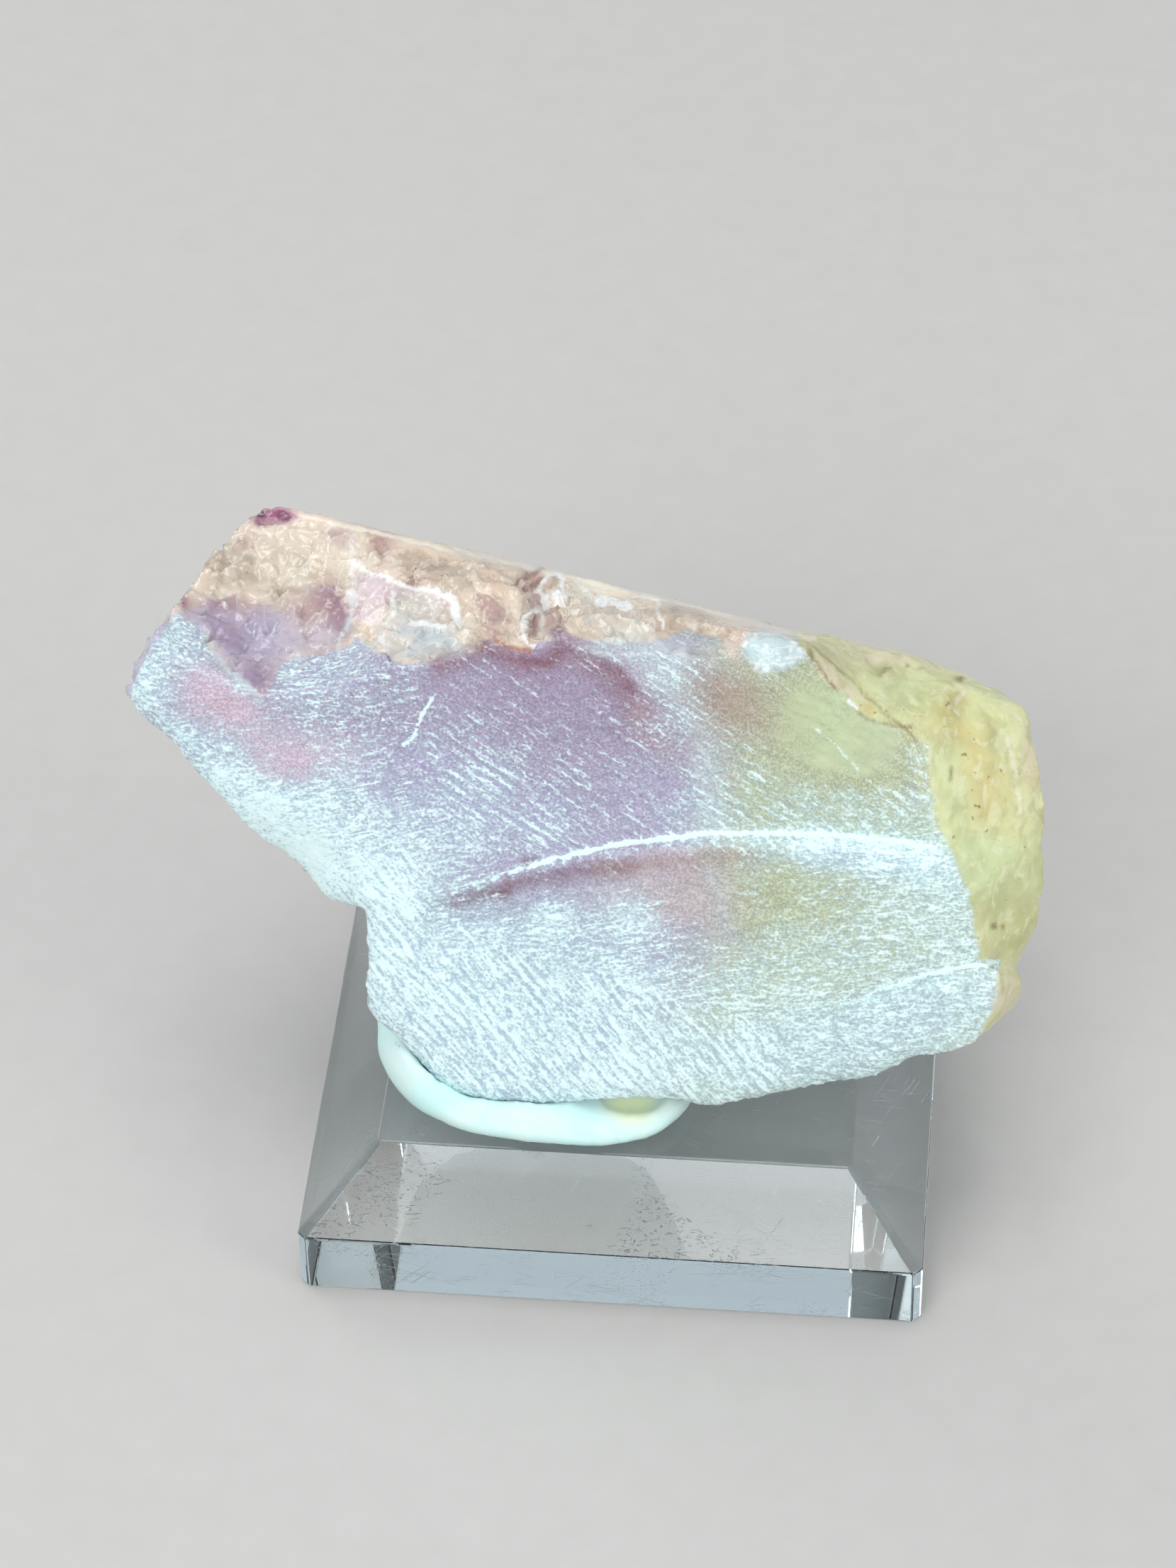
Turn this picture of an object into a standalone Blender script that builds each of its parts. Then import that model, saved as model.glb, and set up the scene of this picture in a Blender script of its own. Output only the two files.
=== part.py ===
"""Rough fluorite slab held by white putty on a bevelled clear display block.

Metres, +Z up. The origin is the middle of the block's underside, and the slab's sawn face looks
towards -Y. The slab is drawn flat in millimetres: u runs to the right along its sawn face, v runs
up the face and w comes out of it. It is then leaned back on the block.
"""

import math

import bmesh
import bpy
from mathutils import Matrix, Vector, noise
from mathutils.geometry import delaunay_2d_cdt

MM = 0.001

# Display block
BLOCK_SIDE = 38.0
BLOCK_HEIGHT = 8.6
BLOCK_WALL_HEIGHT = 4.4
BLOCK_BEVEL = 4.6
BLOCK_CORNER_CUT = 0.5
BLOCK_TOP_CORNER_CUT = 0.17

# Slab: lean, place of the face's own zero point, and thickness
SLAB_LEAN = math.radians(20.0)
SLAB_ZERO = Vector((-1.1, -12.3, 10.8))
SLAB_THICKNESS = 12.0

# Mesh spacing, and the angle past which an edge is shaded sharp
PERIMETER_STEP = 1.25
FACE_STEP = 0.95
BACK_STEP = 2.0
SHARP_ANGLE = math.radians(38.0)
RIM_DEPTHS = (0.0, 0.09, 0.21, 0.35, 0.5, 0.65, 0.79, 0.91, 1.0)
LATTICE_CLEARANCE = 0.5
OUTLINE_CLEARANCE = 0.55
LEDGE_SPANS = 26
STEP_SPANS = 9

# Outline of the slab, side by side and clockwise as seen from the front. Each side gives the edge
# of the sawn face, the outline halfway through the slab, and the edge of the back face, with the
# height of the lumps on it.
SIDES = {
    "left_tip": {
        "front": ((-28.6, 24.8), (-28.0, 26.3), (-27.2, 27.9), (-26.5, 29.0), (-25.5, 30.5), (-24.8, 31.2)),
        "middle": ((-28.7, 24.7), (-27.7, 26.4), (-25.4, 29.7), (-24.2, 31.4)),
        "back": ((-28.7, 24.2), (-27.8, 25.8), (-26.2, 28.1), (-24.7, 30.2), (-23.4, 31.9), (-21.5, 33.2)),
        "lumps": 0.2,
    },
    "broken_top": {
        "front": (
            (-24.8, 31.2), (-20.5, 31.9), (-14.0, 31.4), (-7.0, 31.2), (0.0, 31.1), (6.0, 30.7), (11.4, 30.6),
        ),
        "middle": ((-24.2, 31.4), (-20.8, 32.6), (-8.0, 31.4), (3.0, 30.0), (11.6, 28.6)),
        "back": ((-21.5, 33.2), (-20.4, 33.1), (-8.0, 30.6), (2.6, 28.4), (11.6, 26.3)),
        "lumps": 0.3,
    },
    "skin_top": {
        "front": (
            (11.4, 30.6), (12.6, 28.9), (13.9, 27.3), (15.8, 26.3), (17.2, 25.3), (18.0, 23.8), (18.5, 21.8),
        ),
        "middle": ((11.6, 28.6), (12.9, 28.4), (16.0, 27.3), (19.5, 26.2), (22.6, 25.0)),
        "back": ((11.6, 26.3), (12.9, 26.2), (18.2, 25.0), (21.2, 24.0)),
        "lumps": 0.45,
    },
    "skin_right": {
        "front": ((18.5, 21.8), (19.5, 19.2), (20.5, 18.0), (21.5, 15.7), (22.0, 13.9), (22.5, 11.3)),
        "middle": (
            (22.6, 25.0), (24.0, 24.7), (25.3, 23.7), (26.3, 22.1), (27.1, 19.6), (27.4, 17.6), (27.1, 16.2),
            (27.2, 14.7), (26.7, 13.4), (26.8, 11.8), (26.2, 10.7), (25.3, 9.7), (25.0, 8.6),
        ),
        "back": ((21.2, 24.0), (23.2, 21.6), (24.2, 16.5), (24.0, 12.0), (22.8, 9.4)),
        "lumps": 0.55,
    },
    "skin_corner": {
        "front": ((22.5, 11.3), (23.7, 10.9), (23.7, 8.7), (22.6, 6.3), (21.0, 5.4), (18.9, 4.8)),
        "middle": ((25.0, 8.6), (25.4, 7.4), (24.7, 6.2), (23.5, 5.5), (21.9, 5.0), (18.7, 4.9)),
        "back": ((22.8, 9.4), (21.8, 8.3), (18.4, 7.5)),
        "lumps": 0.3,
    },
    "underside": {
        "front": (
            (18.9, 4.8), (17.4, 3.7), (15.6, 2.9), (13.7, 2.5), (12.6, 2.0), (11.1, 1.6), (9.9, 1.1),
            (7.5, 0.6), (6.6, 0.3), (5.1, 0.7), (1.9, 0.6), (-0.5, 0.0), (-4.4, -0.5), (-6.0, -0.7),
            (-7.9, -0.5), (-9.7, 0.1),
        ),
        "middle": ((18.7, 4.9), (12.5, 3.2), (7.0, 2.1), (2.0, 1.9), (-4.0, 1.6), (-9.6, 2.4)),
        "back": ((18.4, 7.5), (12.0, 6.0), (4.0, 4.9), (-4.0, 4.6), (-9.0, 5.6)),
        "lumps": 0.45,
    },
    "lobe": {
        "front": (
            (-9.7, 0.1), (-11.1, 2.0), (-12.2, 3.3), (-13.4, 4.1), (-14.1, 5.3), (-14.4, 6.8), (-14.1, 7.8),
            (-14.2, 10.2), (-14.2, 11.8),
        ),
        "middle": ((-9.6, 2.4), (-12.0, 4.0), (-13.8, 6.4), (-14.1, 9.0), (-14.2, 12.2)),
        "back": ((-9.0, 5.6), (-12.0, 7.6), (-13.2, 10.0), (-13.4, 13.0)),
        "lumps": 0.25,
    },
    "arm_underside": {
        "front": (
            (-14.2, 11.8), (-15.8, 11.7), (-16.8, 12.1), (-17.8, 13.4), (-18.9, 14.5), (-20.5, 15.6),
            (-21.7, 16.8), (-22.1, 17.7), (-23.2, 18.8), (-25.2, 21.1), (-25.9, 22.0), (-27.0, 22.8),
            (-28.3, 23.9), (-28.6, 24.8),
        ),
        "middle": ((-14.2, 12.2), (-17.2, 14.4), (-21.6, 18.2), (-25.6, 22.4), (-28.7, 24.7)),
        "back": ((-13.4, 13.0), (-16.6, 15.2), (-21.4, 19.6), (-25.6, 22.8), (-28.7, 24.2)),
        "lumps": 0.5,
    },
}

# Lumps of the rim: the size of the coarse ones, the fine ones as shares of them, and how near the
# two faces the lumps keep some of their height
LUMP_SIZE = 3.6
LUMP_SEED = 5.0
FINE_LUMP_SIZE = LUMP_SIZE / 2.5
FINE_LUMP_SEED = 9.0
FINE_LUMP_SHARE = 0.5
LUMP_END_DEPTHS = (0.04, 0.96)
LUMP_FADE = 0.5

# Slow unevenness of the sawn face and of the back face: height, size and seed
FACE_WAVES = (0.06, 5.0, 11.0)
BACK_WAVES = (0.12, 7.0, 3.0)

# Main saw ledge: an arc of the blade's rim, proud below the arc and fading out to the left
LEDGE_RADIUS = 49.0
LEDGE_CENTRE = Vector((12.5, -30.4))
LEDGE_WALL = 0.28
LEDGE_RISE = 1.0
LEDGE_FADE_FROM = -9.0
LEDGE_FADE_TO = 6.0
LEDGE_RIGHT_END = 19.8

# Second saw ledge in the lower right corner
STEP_LINE = ((13.2, 7.1), (17.1, 8.9), (20.4, 10.2), (22.4, 10.7))
STEP_RISE = 0.55
STEP_WALL = 0.25

# Receding facet under the left arm, between this crease and the outline
FACET_CREASE = ((-21.6, 18.9), (-19.4, 18.9), (-17.0, 17.6), (-15.2, 15.9), (-14.6, 13.6))
FACET_SLOPE = 0.36
TIP_TILT_FROM = -21.5
TIP_TILT = 0.13

# Worn front edge: it starts at this corner and runs round the underside, the lobe and the arm
WORN_FROM = Vector(SIDES["underside"]["front"][0])
WORN_WIDTH = 1.3
WORN_DEPTH = 0.45

# Conchoidal chips that broke out of the top edge. Each is a shallow cap: its middle on the slab,
# how far it tips towards the front in degrees, its half width along u, its half length across the
# edge and its depth.
CHIPS = {
    "purple_hollow": ((-19.5, 29.4, -5.8), 30.0, 5.2, 6.9, 1.1),
    "shell_chip": ((-11.4, 29.9, -3.5), 26.0, 3.8, 3.9, 1.0),
    "peach_slope": ((-12.0, 31.5, -7.9), -2.0, 4.6, 2.7, 0.45),
    "vein_chip": ((-15.3, 30.7, -2.2), 20.0, 1.9, 3.0, 0.5),
    "block_chip": ((-6.7, 30.5, -2.9), 14.0, 2.6, 3.5, 0.6),
    "orange_notch": ((-5.4, 30.0, -0.5), 48.0, 1.2, 1.3, 0.35),
    "breccia_gully": ((-4.0, 30.4, -5.2), 4.0, 1.4, 5.9, 0.9),
    "fan_chip": ((0.9, 30.7, -1.7), 34.0, 2.8, 2.2, 0.6),
    "fan_chip_back": ((0.4, 30.0, -7.4), -8.0, 3.9, 3.8, 0.6),
    "brown_chip": ((5.1, 30.2, -2.9), 12.0, 2.6, 3.4, 0.6),
    "bright_chip": ((9.6, 30.4, -0.8), 50.0, 2.0, 1.6, 0.3),
    "right_gully": ((8.0, 29.3, -7.6), -14.0, 4.0, 3.6, 0.5),
}
CHIP_DEPTH_SHARE = 0.2
CHIP_WAVES = (0.04, 0.5, 2.0)
WIDE_CHIP = 5.0

# Cleavage faces on the hidden side: a point on each plane and the way the plane looks
CLEAVAGES = {
    "lower_back": ((0.0, 8.4, -12.0), (0.05, -0.62, -0.78)),
    "right_back": ((17.5, 14.0, -12.0), (0.72, -0.12, -0.68)),
    "left_back": ((-17.0, 22.0, -12.0), (-0.42, -0.16, -0.89)),
}

# Terraces on the back face: the corner where two cleavage steps meet, the way the corner points
# in the plane of the face in degrees, and the depth of the step
TERRACES = {
    "upper_terrace": ((-5.5, 17.0), -14.0, 0.9),
    "lower_terrace": ((9.5, 21.5), -134.0, 0.45),
}
CUTTER_SIZE = 60.0

# Putty: outline of its foot on the block, clockwise from the left as seen from above
PUTTY_FOOT = (
    (-13.9, -5.6), (-13.4, -2.0), (-11.0, 1.6), (-7.0, 3.3), (-2.4, 2.9), (1.4, 0.6), (3.0, -3.4),
    (3.4, -7.6), (3.2, -10.4), (1.9, -12.3), (-1.0, -13.2), (-4.6, -13.2), (-8.8, -12.7), (-12.0, -11.4),
    (-13.6, -8.9),
)
PUTTY_BULGE = 0.8
PUTTY_BULGE_OUT = 1.6
PUTTY_BULGE_IN = 0.6
PUTTY_SIDE_ANGLES = (-90.0, -45.0, -15.0, 15.0, 40.0, 65.0, 90.0)
PUTTY_TOP_SHARES = (0.8, 0.6, 0.4, 0.2)

# Heights of the putty, and the places between which it rises to each
PUTTY_LIP_HEIGHT = 1.2
PUTTY_FRONT_HEIGHT = 1.6
PUTTY_FRONT_RISE = (-0.6, -3.8)
PUTTY_LEFT_HEIGHT = 4.8
PUTTY_LEFT_RISE = (-8.5, -13.5)
PUTTY_BACK_HEIGHT = 7.2
PUTTY_BACK_RISE = (-7.0, 0.0)
PUTTY_KNOB = (3.0, -11.3)
PUTTY_KNOB_HEIGHT = 2.0
PUTTY_KNOB_RADIUS = 1.0
PUTTY_KNOB_FOOT = 2.0
PUTTY_HOLLOW = ((0.8, -11.3, 11.0), (2.4, 1.7, 1.7))
PUTTY_STEPS_ROUND = 52
CONTACT_GAP = 0.3


def smooth_step(low, high, value):
    """Rise smoothly from 0 at low to 1 at high."""
    share = min(max((value - low) / (high - low), 0.0), 1.0)
    return share * share * (3.0 - 2.0 * share)


def resample(points, count):
    """Return count + 1 points evenly spaced along a polyline."""
    points = [Vector(point) for point in points]
    reach = [0.0]
    for start, end in zip(points, points[1:]):
        reach.append(reach[-1] + (end - start).length)
    result = []
    piece = 0
    for index in range(count + 1):
        target = reach[-1] * index / count
        while piece < len(points) - 2 and reach[piece + 1] < target:
            piece += 1
        share = (target - reach[piece]) / (reach[piece + 1] - reach[piece])
        result.append(points[piece].lerp(points[piece + 1], share))
    return result


def length_of(points):
    """Return the length of a polyline."""
    return sum((Vector(end) - Vector(start)).length for start, end in zip(points, points[1:]))


def distance_to_line(point, line):
    """Return the distance from a point to a polyline."""
    best = math.inf
    for start, end in zip(line, line[1:]):
        run = end - start
        share = min(max((point - start).dot(run) / run.length_squared, 0.0), 1.0)
        best = min(best, (point - start - run * share).length)
    return best


def inside(point, loop):
    """Tell whether a point lies inside a closed outline."""
    odd = False
    for start, end in zip(loop, loop[1:] + loop[:1]):
        if (start.y > point.y) != (end.y > point.y):
            crossing = start.x + (end.x - start.x) * (point.y - start.y) / (end.y - start.y)
            odd ^= point.x < crossing
    return odd


def lumps_at(place, scale, seed):
    """Return soft three-octave noise between about -1 and 1 at a place in millimetres."""
    return noise.fractal((place + Vector((seed, 0.0, 0.0))) / scale, 1.0, 2.0, 3)


def waves_at(place, waves):
    """Return a slow unevenness, given as height, size and seed, at a place in millimetres."""
    height, size, seed = waves
    return height * lumps_at(place, size, seed)


def slab_outlines():
    """Return the front, middle and back outlines with as many points each, and the lump heights."""
    outlines = {"front": [], "middle": [], "back": []}
    heights = []
    for side in SIDES.values():
        longest = max(length_of(side["front"]), length_of(side["middle"]), length_of(side["back"]))
        count = round(longest / PERIMETER_STEP)
        for name, loop in outlines.items():
            loop.extend(resample(side[name], count)[:-1])
        heights.extend([side["lumps"]] * count)
    return outlines["front"], outlines["middle"], outlines["back"], heights


def ledge_height(u):
    """Return how far the main ledge stands proud at a place along it."""
    return LEDGE_RISE * smooth_step(LEDGE_FADE_FROM, LEDGE_FADE_TO, u)


def arc_points(radius, start_u, end_u, count):
    """Return points along the saw blade's arc between two places on the face."""
    points = []
    for index in range(count + 1):
        u = start_u + (end_u - start_u) * index / count
        rise = math.sqrt(radius**2 - (u - LEDGE_CENTRE.x) ** 2)
        points.append(Vector((u, LEDGE_CENTRE.y + rise)))
    return points


def offset_line(line, distance):
    """Shift a polyline straight down the face."""
    return [Vector(point) - Vector((0.0, distance)) for point in line]


def height_on_line(line, u):
    """Return the v of a polyline at a given u, or None beyond its ends."""
    for start, end in zip(line, line[1:]):
        if start[0] <= u <= end[0]:
            return start[1] + (end[1] - start[1]) * (u - start[0]) / (end[0] - start[0])
    return None


def face_relief(point, outline):
    """Return how far the sawn face stands out (w) at a point of it."""
    height = waves_at(point.to_3d(), FACE_WAVES)
    below_arc = LEDGE_RADIUS - (point - LEDGE_CENTRE).length
    height += ledge_height(point.x) * smooth_step(0.0, LEDGE_WALL, below_arc)
    step_v = height_on_line(STEP_LINE, min(point.x, STEP_LINE[-1][0]))
    if step_v is not None:
        rise = STEP_RISE * smooth_step(STEP_LINE[0][0], STEP_LINE[1][0], point.x)
        height += rise * smooth_step(0.0, STEP_WALL, step_v - point.y)
    height -= TIP_TILT * max(TIP_TILT_FROM - point.x, 0.0)
    crease = [Vector(corner) for corner in FACET_CREASE]
    crease_v = height_on_line(FACET_CREASE, point.x)
    if crease_v is not None and point.y < crease_v:
        height -= FACET_SLOPE * distance_to_line(point, crease)
    edge_distance = distance_to_line(point, outline)
    height -= WORN_DEPTH * max(1.0 - edge_distance / WORN_WIDTH, 0.0) ** 2
    return height


def back_height(point):
    """Return the w of the back face at a point of it."""
    return -SLAB_THICKNESS - waves_at(point.to_3d(), BACK_WAVES)


def worn_outline(front):
    """Return the part of the front edge that is worn: the underside, the lobe and the arm."""
    start = front.index(min(front, key=lambda point: (point - WORN_FROM).length))
    return front[start:] + front[:1]


def lattice(loop, lines, step):
    """Return points of a triangular lattice inside an outline, clear of it and of the lines."""
    closed = loop + loop[:1]
    low_u = min(point.x for point in loop)
    high_u = max(point.x for point in loop)
    low_v = min(point.y for point in loop)
    high_v = max(point.y for point in loop)
    points = []
    row_height = step * math.sqrt(3.0) / 2.0
    for row in range(int((high_v - low_v) / row_height) + 1):
        for column in range(int((high_u - low_u) / step) + 1):
            shift = step / 2.0 * (row % 2)
            point = Vector((low_u + column * step + shift, low_v + row * row_height))
            if not inside(point, loop) or distance_to_line(point, closed) < OUTLINE_CLEARANCE * step:
                continue
            if all(distance_to_line(point, line) > LATTICE_CLEARANCE * step for line in lines):
                points.append(point)
    return points


def fill(mesh, ring, lines, step, height_at, facing):
    """Close a ring of vertices with a triangulated sheet that keeps the given lines."""
    loop = [Vector((vertex.co.x, vertex.co.y)) for vertex in ring]
    points = list(loop)
    edges = []
    for line in lines:
        first = len(points)
        points.extend(line)
        edges.extend((first + index, first + index + 1) for index in range(len(line) - 1))
    points.extend(lattice(loop, lines, step))
    outline_face = list(range(len(loop)))
    places, _, faces, origins, _, _ = delaunay_2d_cdt(points, edges, [outline_face], 1, 1e-5)
    vertices = []
    for place, origin in zip(places, origins):
        rim_index = min(origin) if origin else len(loop)
        if rim_index < len(loop):
            vertices.append(ring[rim_index])
        else:
            vertices.append(mesh.verts.new((place.x, place.y, height_at(place))))
    for face in faces:
        corners = [vertices[index] for index in face]
        mesh.faces.new(corners if facing > 0 else corners[::-1])


def rim_point(front, middle, back, depth):
    """Return the outline at a depth, on the parabola through front, middle and back."""
    return (
        front * (1.0 - depth) * (1.0 - 2.0 * depth)
        + middle * 4.0 * depth * (1.0 - depth)
        + back * depth * (2.0 * depth - 1.0)
    )


def slab_mesh():
    """Build the slab before chips break out of it, in millimetres on its own axes."""
    front, middle, back, heights = slab_outlines()
    worn = worn_outline(front)
    count = len(front)
    mesh = bmesh.new()
    rings = []
    for depth in RIM_DEPTHS:
        ring = []
        for index in range(count):
            after = (index + 1) % count
            place = rim_point(front[index], middle[index], back[index], depth)
            run = rim_point(front[after], middle[after], back[after], depth)
            outward = Vector((place.y - run.y, run.x - place.x)).normalized()
            lumpy = place.to_3d() - Vector((0.0, 0.0, SLAB_THICKNESS * depth))
            held_depth = min(max(depth, LUMP_END_DEPTHS[0]), LUMP_END_DEPTHS[1])
            swell = math.sin(math.pi * held_depth) ** LUMP_FADE
            fine = lumps_at(lumpy, FINE_LUMP_SIZE, FINE_LUMP_SEED)
            rise = lumps_at(lumpy, LUMP_SIZE, LUMP_SEED) + FINE_LUMP_SHARE * fine
            place = place + outward * heights[index] * swell * rise
            start = face_relief(place, worn) * (1.0 - depth) if depth < 1.0 else 0.0
            ring.append(mesh.verts.new((place.x, place.y, start - SLAB_THICKNESS * depth)))
        rings.append(ring)
    for upper, lower in zip(rings, rings[1:]):
        for index in range(count):
            after = (index + 1) % count
            mesh.faces.new((upper[index], upper[after], lower[after], lower[index]))
    ledge_top = arc_points(LEDGE_RADIUS, LEDGE_FADE_FROM, LEDGE_RIGHT_END, LEDGE_SPANS)
    ledge_foot = arc_points(LEDGE_RADIUS - LEDGE_WALL, LEDGE_FADE_FROM, LEDGE_RIGHT_END, LEDGE_SPANS)
    step_top = resample(STEP_LINE, STEP_SPANS)
    lines = [ledge_top, ledge_foot, step_top, offset_line(step_top, STEP_WALL)]
    fill(mesh, rings[0], lines, FACE_STEP, lambda place: face_relief(place, worn), 1)
    fill(mesh, rings[-1], [], BACK_STEP, back_height, -1)
    bmesh.ops.triangulate(mesh, faces=mesh.faces)
    bmesh.ops.recalc_face_normals(mesh, faces=mesh.faces)
    return mesh


def make_object(name, mesh, material=None):
    """Turn a mesh drawn in millimetres into an object in metres."""
    bmesh.ops.scale(mesh, vec=(MM, MM, MM), verts=mesh.verts)
    data = bpy.data.meshes.new(name)
    mesh.to_mesh(data)
    mesh.free()
    data.shade_smooth()
    data.set_sharp_from_angle(angle=SHARP_ANGLE)
    thing = bpy.data.objects.new(name, data)
    if material:
        data.materials.append(material)
    bpy.context.collection.objects.link(thing)
    return thing


def lean(thing):
    """Stand a piece that is drawn on the slab's axes in its place on the block."""
    thing.rotation_euler.x = math.pi / 2.0 - SLAB_LEAN
    thing.location = SLAB_ZERO * MM
    return thing


def cut(thing, cutter):
    """Take a cutter's shape out of a piece."""
    cutter.hide_render = True
    cutter.display_type = "WIRE"
    boolean = thing.modifiers.new(f"cut {cutter.name}", "BOOLEAN")
    boolean.operation = "DIFFERENCE"
    boolean.object = cutter


def make_chip(name, place, tip, half_width, half_length, depth):
    """Make one chip's cutter: an ellipsoid whose lowest cap is the chip."""
    high = depth / CHIP_DEPTH_SHARE
    spread = math.sqrt(1.0 - (1.0 - CHIP_DEPTH_SHARE) ** 2)
    half_sizes = (half_width / spread, high, half_length / spread)
    mesh = bmesh.new()
    bmesh.ops.create_icosphere(mesh, subdivisions=4 if half_width > WIDE_CHIP else 3, radius=1.0)
    for vertex in mesh.verts:
        swell = 1.0 + waves_at(vertex.co + Vector(place), CHIP_WAVES)
        vertex.co = Vector(part * half * swell for part, half in zip(vertex.co, half_sizes))
    bmesh.ops.translate(mesh, vec=(0.0, high - depth, 0.0), verts=mesh.verts)
    bmesh.ops.rotate(mesh, matrix=Matrix.Rotation(math.radians(tip), 3, "X"), verts=mesh.verts)
    bmesh.ops.translate(mesh, vec=place, verts=mesh.verts)
    return lean(make_object(f"cutter_{name}", mesh))


def make_half_space(name, point, facing):
    """Make the cutter of one cleavage plane: a large box whose near side is the plane."""
    mesh = bmesh.new()
    bmesh.ops.create_cube(mesh, size=CUTTER_SIZE)
    bmesh.ops.translate(mesh, vec=(0.0, 0.0, CUTTER_SIZE / 2.0), verts=mesh.verts)
    turn = Vector((0.0, 0.0, 1.0)).rotation_difference(Vector(facing))
    bmesh.ops.rotate(mesh, matrix=turn.to_matrix(), verts=mesh.verts)
    bmesh.ops.translate(mesh, vec=point, verts=mesh.verts)
    return lean(make_object(f"cutter_{name}", mesh))


def make_terrace(name, corner, turn, depth):
    """Make the cutter of one terrace: a box with a corner on the back face."""
    mesh = bmesh.new()
    bmesh.ops.create_cube(mesh, size=CUTTER_SIZE)
    half = CUTTER_SIZE / 2.0
    bmesh.ops.translate(mesh, vec=(half, half, -half), verts=mesh.verts)
    bmesh.ops.rotate(mesh, matrix=Matrix.Rotation(math.radians(turn), 3, "Z"), verts=mesh.verts)
    bmesh.ops.translate(mesh, vec=(*corner, depth - SLAB_THICKNESS), verts=mesh.verts)
    return lean(make_object(f"cutter_{name}", mesh))


def make_material(name, colour, roughness, transmission=0.0, ior=1.5):
    """Make a plain finish."""
    material = bpy.data.materials.new(name)
    material.use_nodes = True
    shader = material.node_tree.nodes["Principled BSDF"]
    shader.inputs["Base Color"].default_value = (*colour, 1.0)
    shader.inputs["Roughness"].default_value = roughness
    shader.inputs["Metallic"].default_value = 0.0
    shader.inputs["Transmission Weight"].default_value = transmission
    shader.inputs["IOR"].default_value = ior
    return material


def make_fluorite():
    """Make the stone: the slab with its chips broken out and its back cleaved."""
    finish = make_material("fluorite_crystal", (0.55, 0.52, 0.60), 0.45, ior=1.434)
    stone = lean(make_object("fluorite", slab_mesh(), finish))
    for name, chip in CHIPS.items():
        cut(stone, make_chip(name, *chip))
    for name, (point, facing) in CLEAVAGES.items():
        cut(stone, make_half_space(name, point, facing))
    for name, terrace in TERRACES.items():
        cut(stone, make_terrace(name, *terrace))
    return stone


def putty_top(x, y):
    """Return the height of the putty above the block before the stone is pressed in."""
    lip = PUTTY_LIP_HEIGHT + (PUTTY_FRONT_HEIGHT - PUTTY_LIP_HEIGHT) * smooth_step(*PUTTY_FRONT_RISE, x)
    left = lip + (PUTTY_LEFT_HEIGHT - lip) * smooth_step(*PUTTY_LEFT_RISE, x)
    back = lip + (PUTTY_BACK_HEIGHT - lip) * smooth_step(*PUTTY_BACK_RISE, y)
    reach = math.hypot(x - PUTTY_KNOB[0], y - PUTTY_KNOB[1]) / PUTTY_KNOB_RADIUS
    knob = lip + (PUTTY_KNOB_HEIGHT - lip) * smooth_step(PUTTY_KNOB_FOOT, 0.0, reach)
    return max(left, back, knob)


def putty_mesh():
    """Build the putty as a rounded loaf on the block."""
    floor = BLOCK_HEIGHT + CONTACT_GAP
    foot = resample(PUTTY_FOOT + PUTTY_FOOT[:1], PUTTY_STEPS_ROUND)[:-1]
    smooth_foot = []
    for index, point in enumerate(foot):
        before = foot[index - 1]
        after = foot[(index + 1) % PUTTY_STEPS_ROUND]
        smooth_foot.append((before + point * 2.0 + after) / 4.0)
    centre = sum(smooth_foot, Vector((0.0, 0.0))) / PUTTY_STEPS_ROUND
    mesh = bmesh.new()
    rings = []
    for degrees in PUTTY_SIDE_ANGLES:
        angle = math.radians(degrees)
        ring = []
        for point in smooth_foot:
            outward = (point - centre).normalized()
            spread = PUTTY_BULGE_OUT * math.cos(angle) - PUTTY_BULGE_IN * max(math.sin(angle), 0.0)
            place = point + outward * PUTTY_BULGE * spread
            height = putty_top(point.x, point.y) * (0.5 + 0.5 * math.sin(angle))
            ring.append(mesh.verts.new((place.x, place.y, floor + height)))
        rings.append(ring)
    shoulder = rings[-1]
    for share in PUTTY_TOP_SHARES:
        ring = []
        for vertex in shoulder:
            place = centre.lerp(Vector((vertex.co.x, vertex.co.y)), share)
            ring.append(mesh.verts.new((place.x, place.y, floor + putty_top(place.x, place.y))))
        rings.append(ring)
    for lower, upper in zip(rings, rings[1:]):
        for index in range(PUTTY_STEPS_ROUND):
            after = (index + 1) % PUTTY_STEPS_ROUND
            mesh.faces.new((lower[index], lower[after], upper[after], upper[index]))
    mesh.faces.new(rings[0])
    mesh.faces.new(rings[-1])
    bmesh.ops.triangulate(mesh, faces=mesh.faces)
    bmesh.ops.recalc_face_normals(mesh, faces=mesh.faces)
    return mesh


def make_putty_hollow():
    """Make the cutter of the hollow behind the putty's front lip."""
    centre, half_sizes = PUTTY_HOLLOW
    mesh = bmesh.new()
    bmesh.ops.create_icosphere(mesh, subdivisions=3, radius=1.0)
    bmesh.ops.scale(mesh, vec=half_sizes, verts=mesh.verts)
    bmesh.ops.translate(mesh, vec=centre, verts=mesh.verts)
    return make_object("cutter_putty_hollow", mesh)


def make_putty(stone):
    """Make the putty, with the stone's form pressed into it."""
    finish = make_material("white_putty", (0.86, 0.88, 0.84), 0.6)
    putty = make_object("putty", putty_mesh(), finish)
    pressed = stone.copy()
    pressed.name = "cutter_pressed_stone"
    pressed.data = stone.data.copy()
    bpy.context.collection.objects.link(pressed)
    grow = pressed.modifiers.new("gap", "DISPLACE")
    grow.strength = CONTACT_GAP * MM
    grow.mid_level = 0.0
    cut(putty, make_putty_hollow())
    cut(putty, pressed)
    return putty


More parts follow.
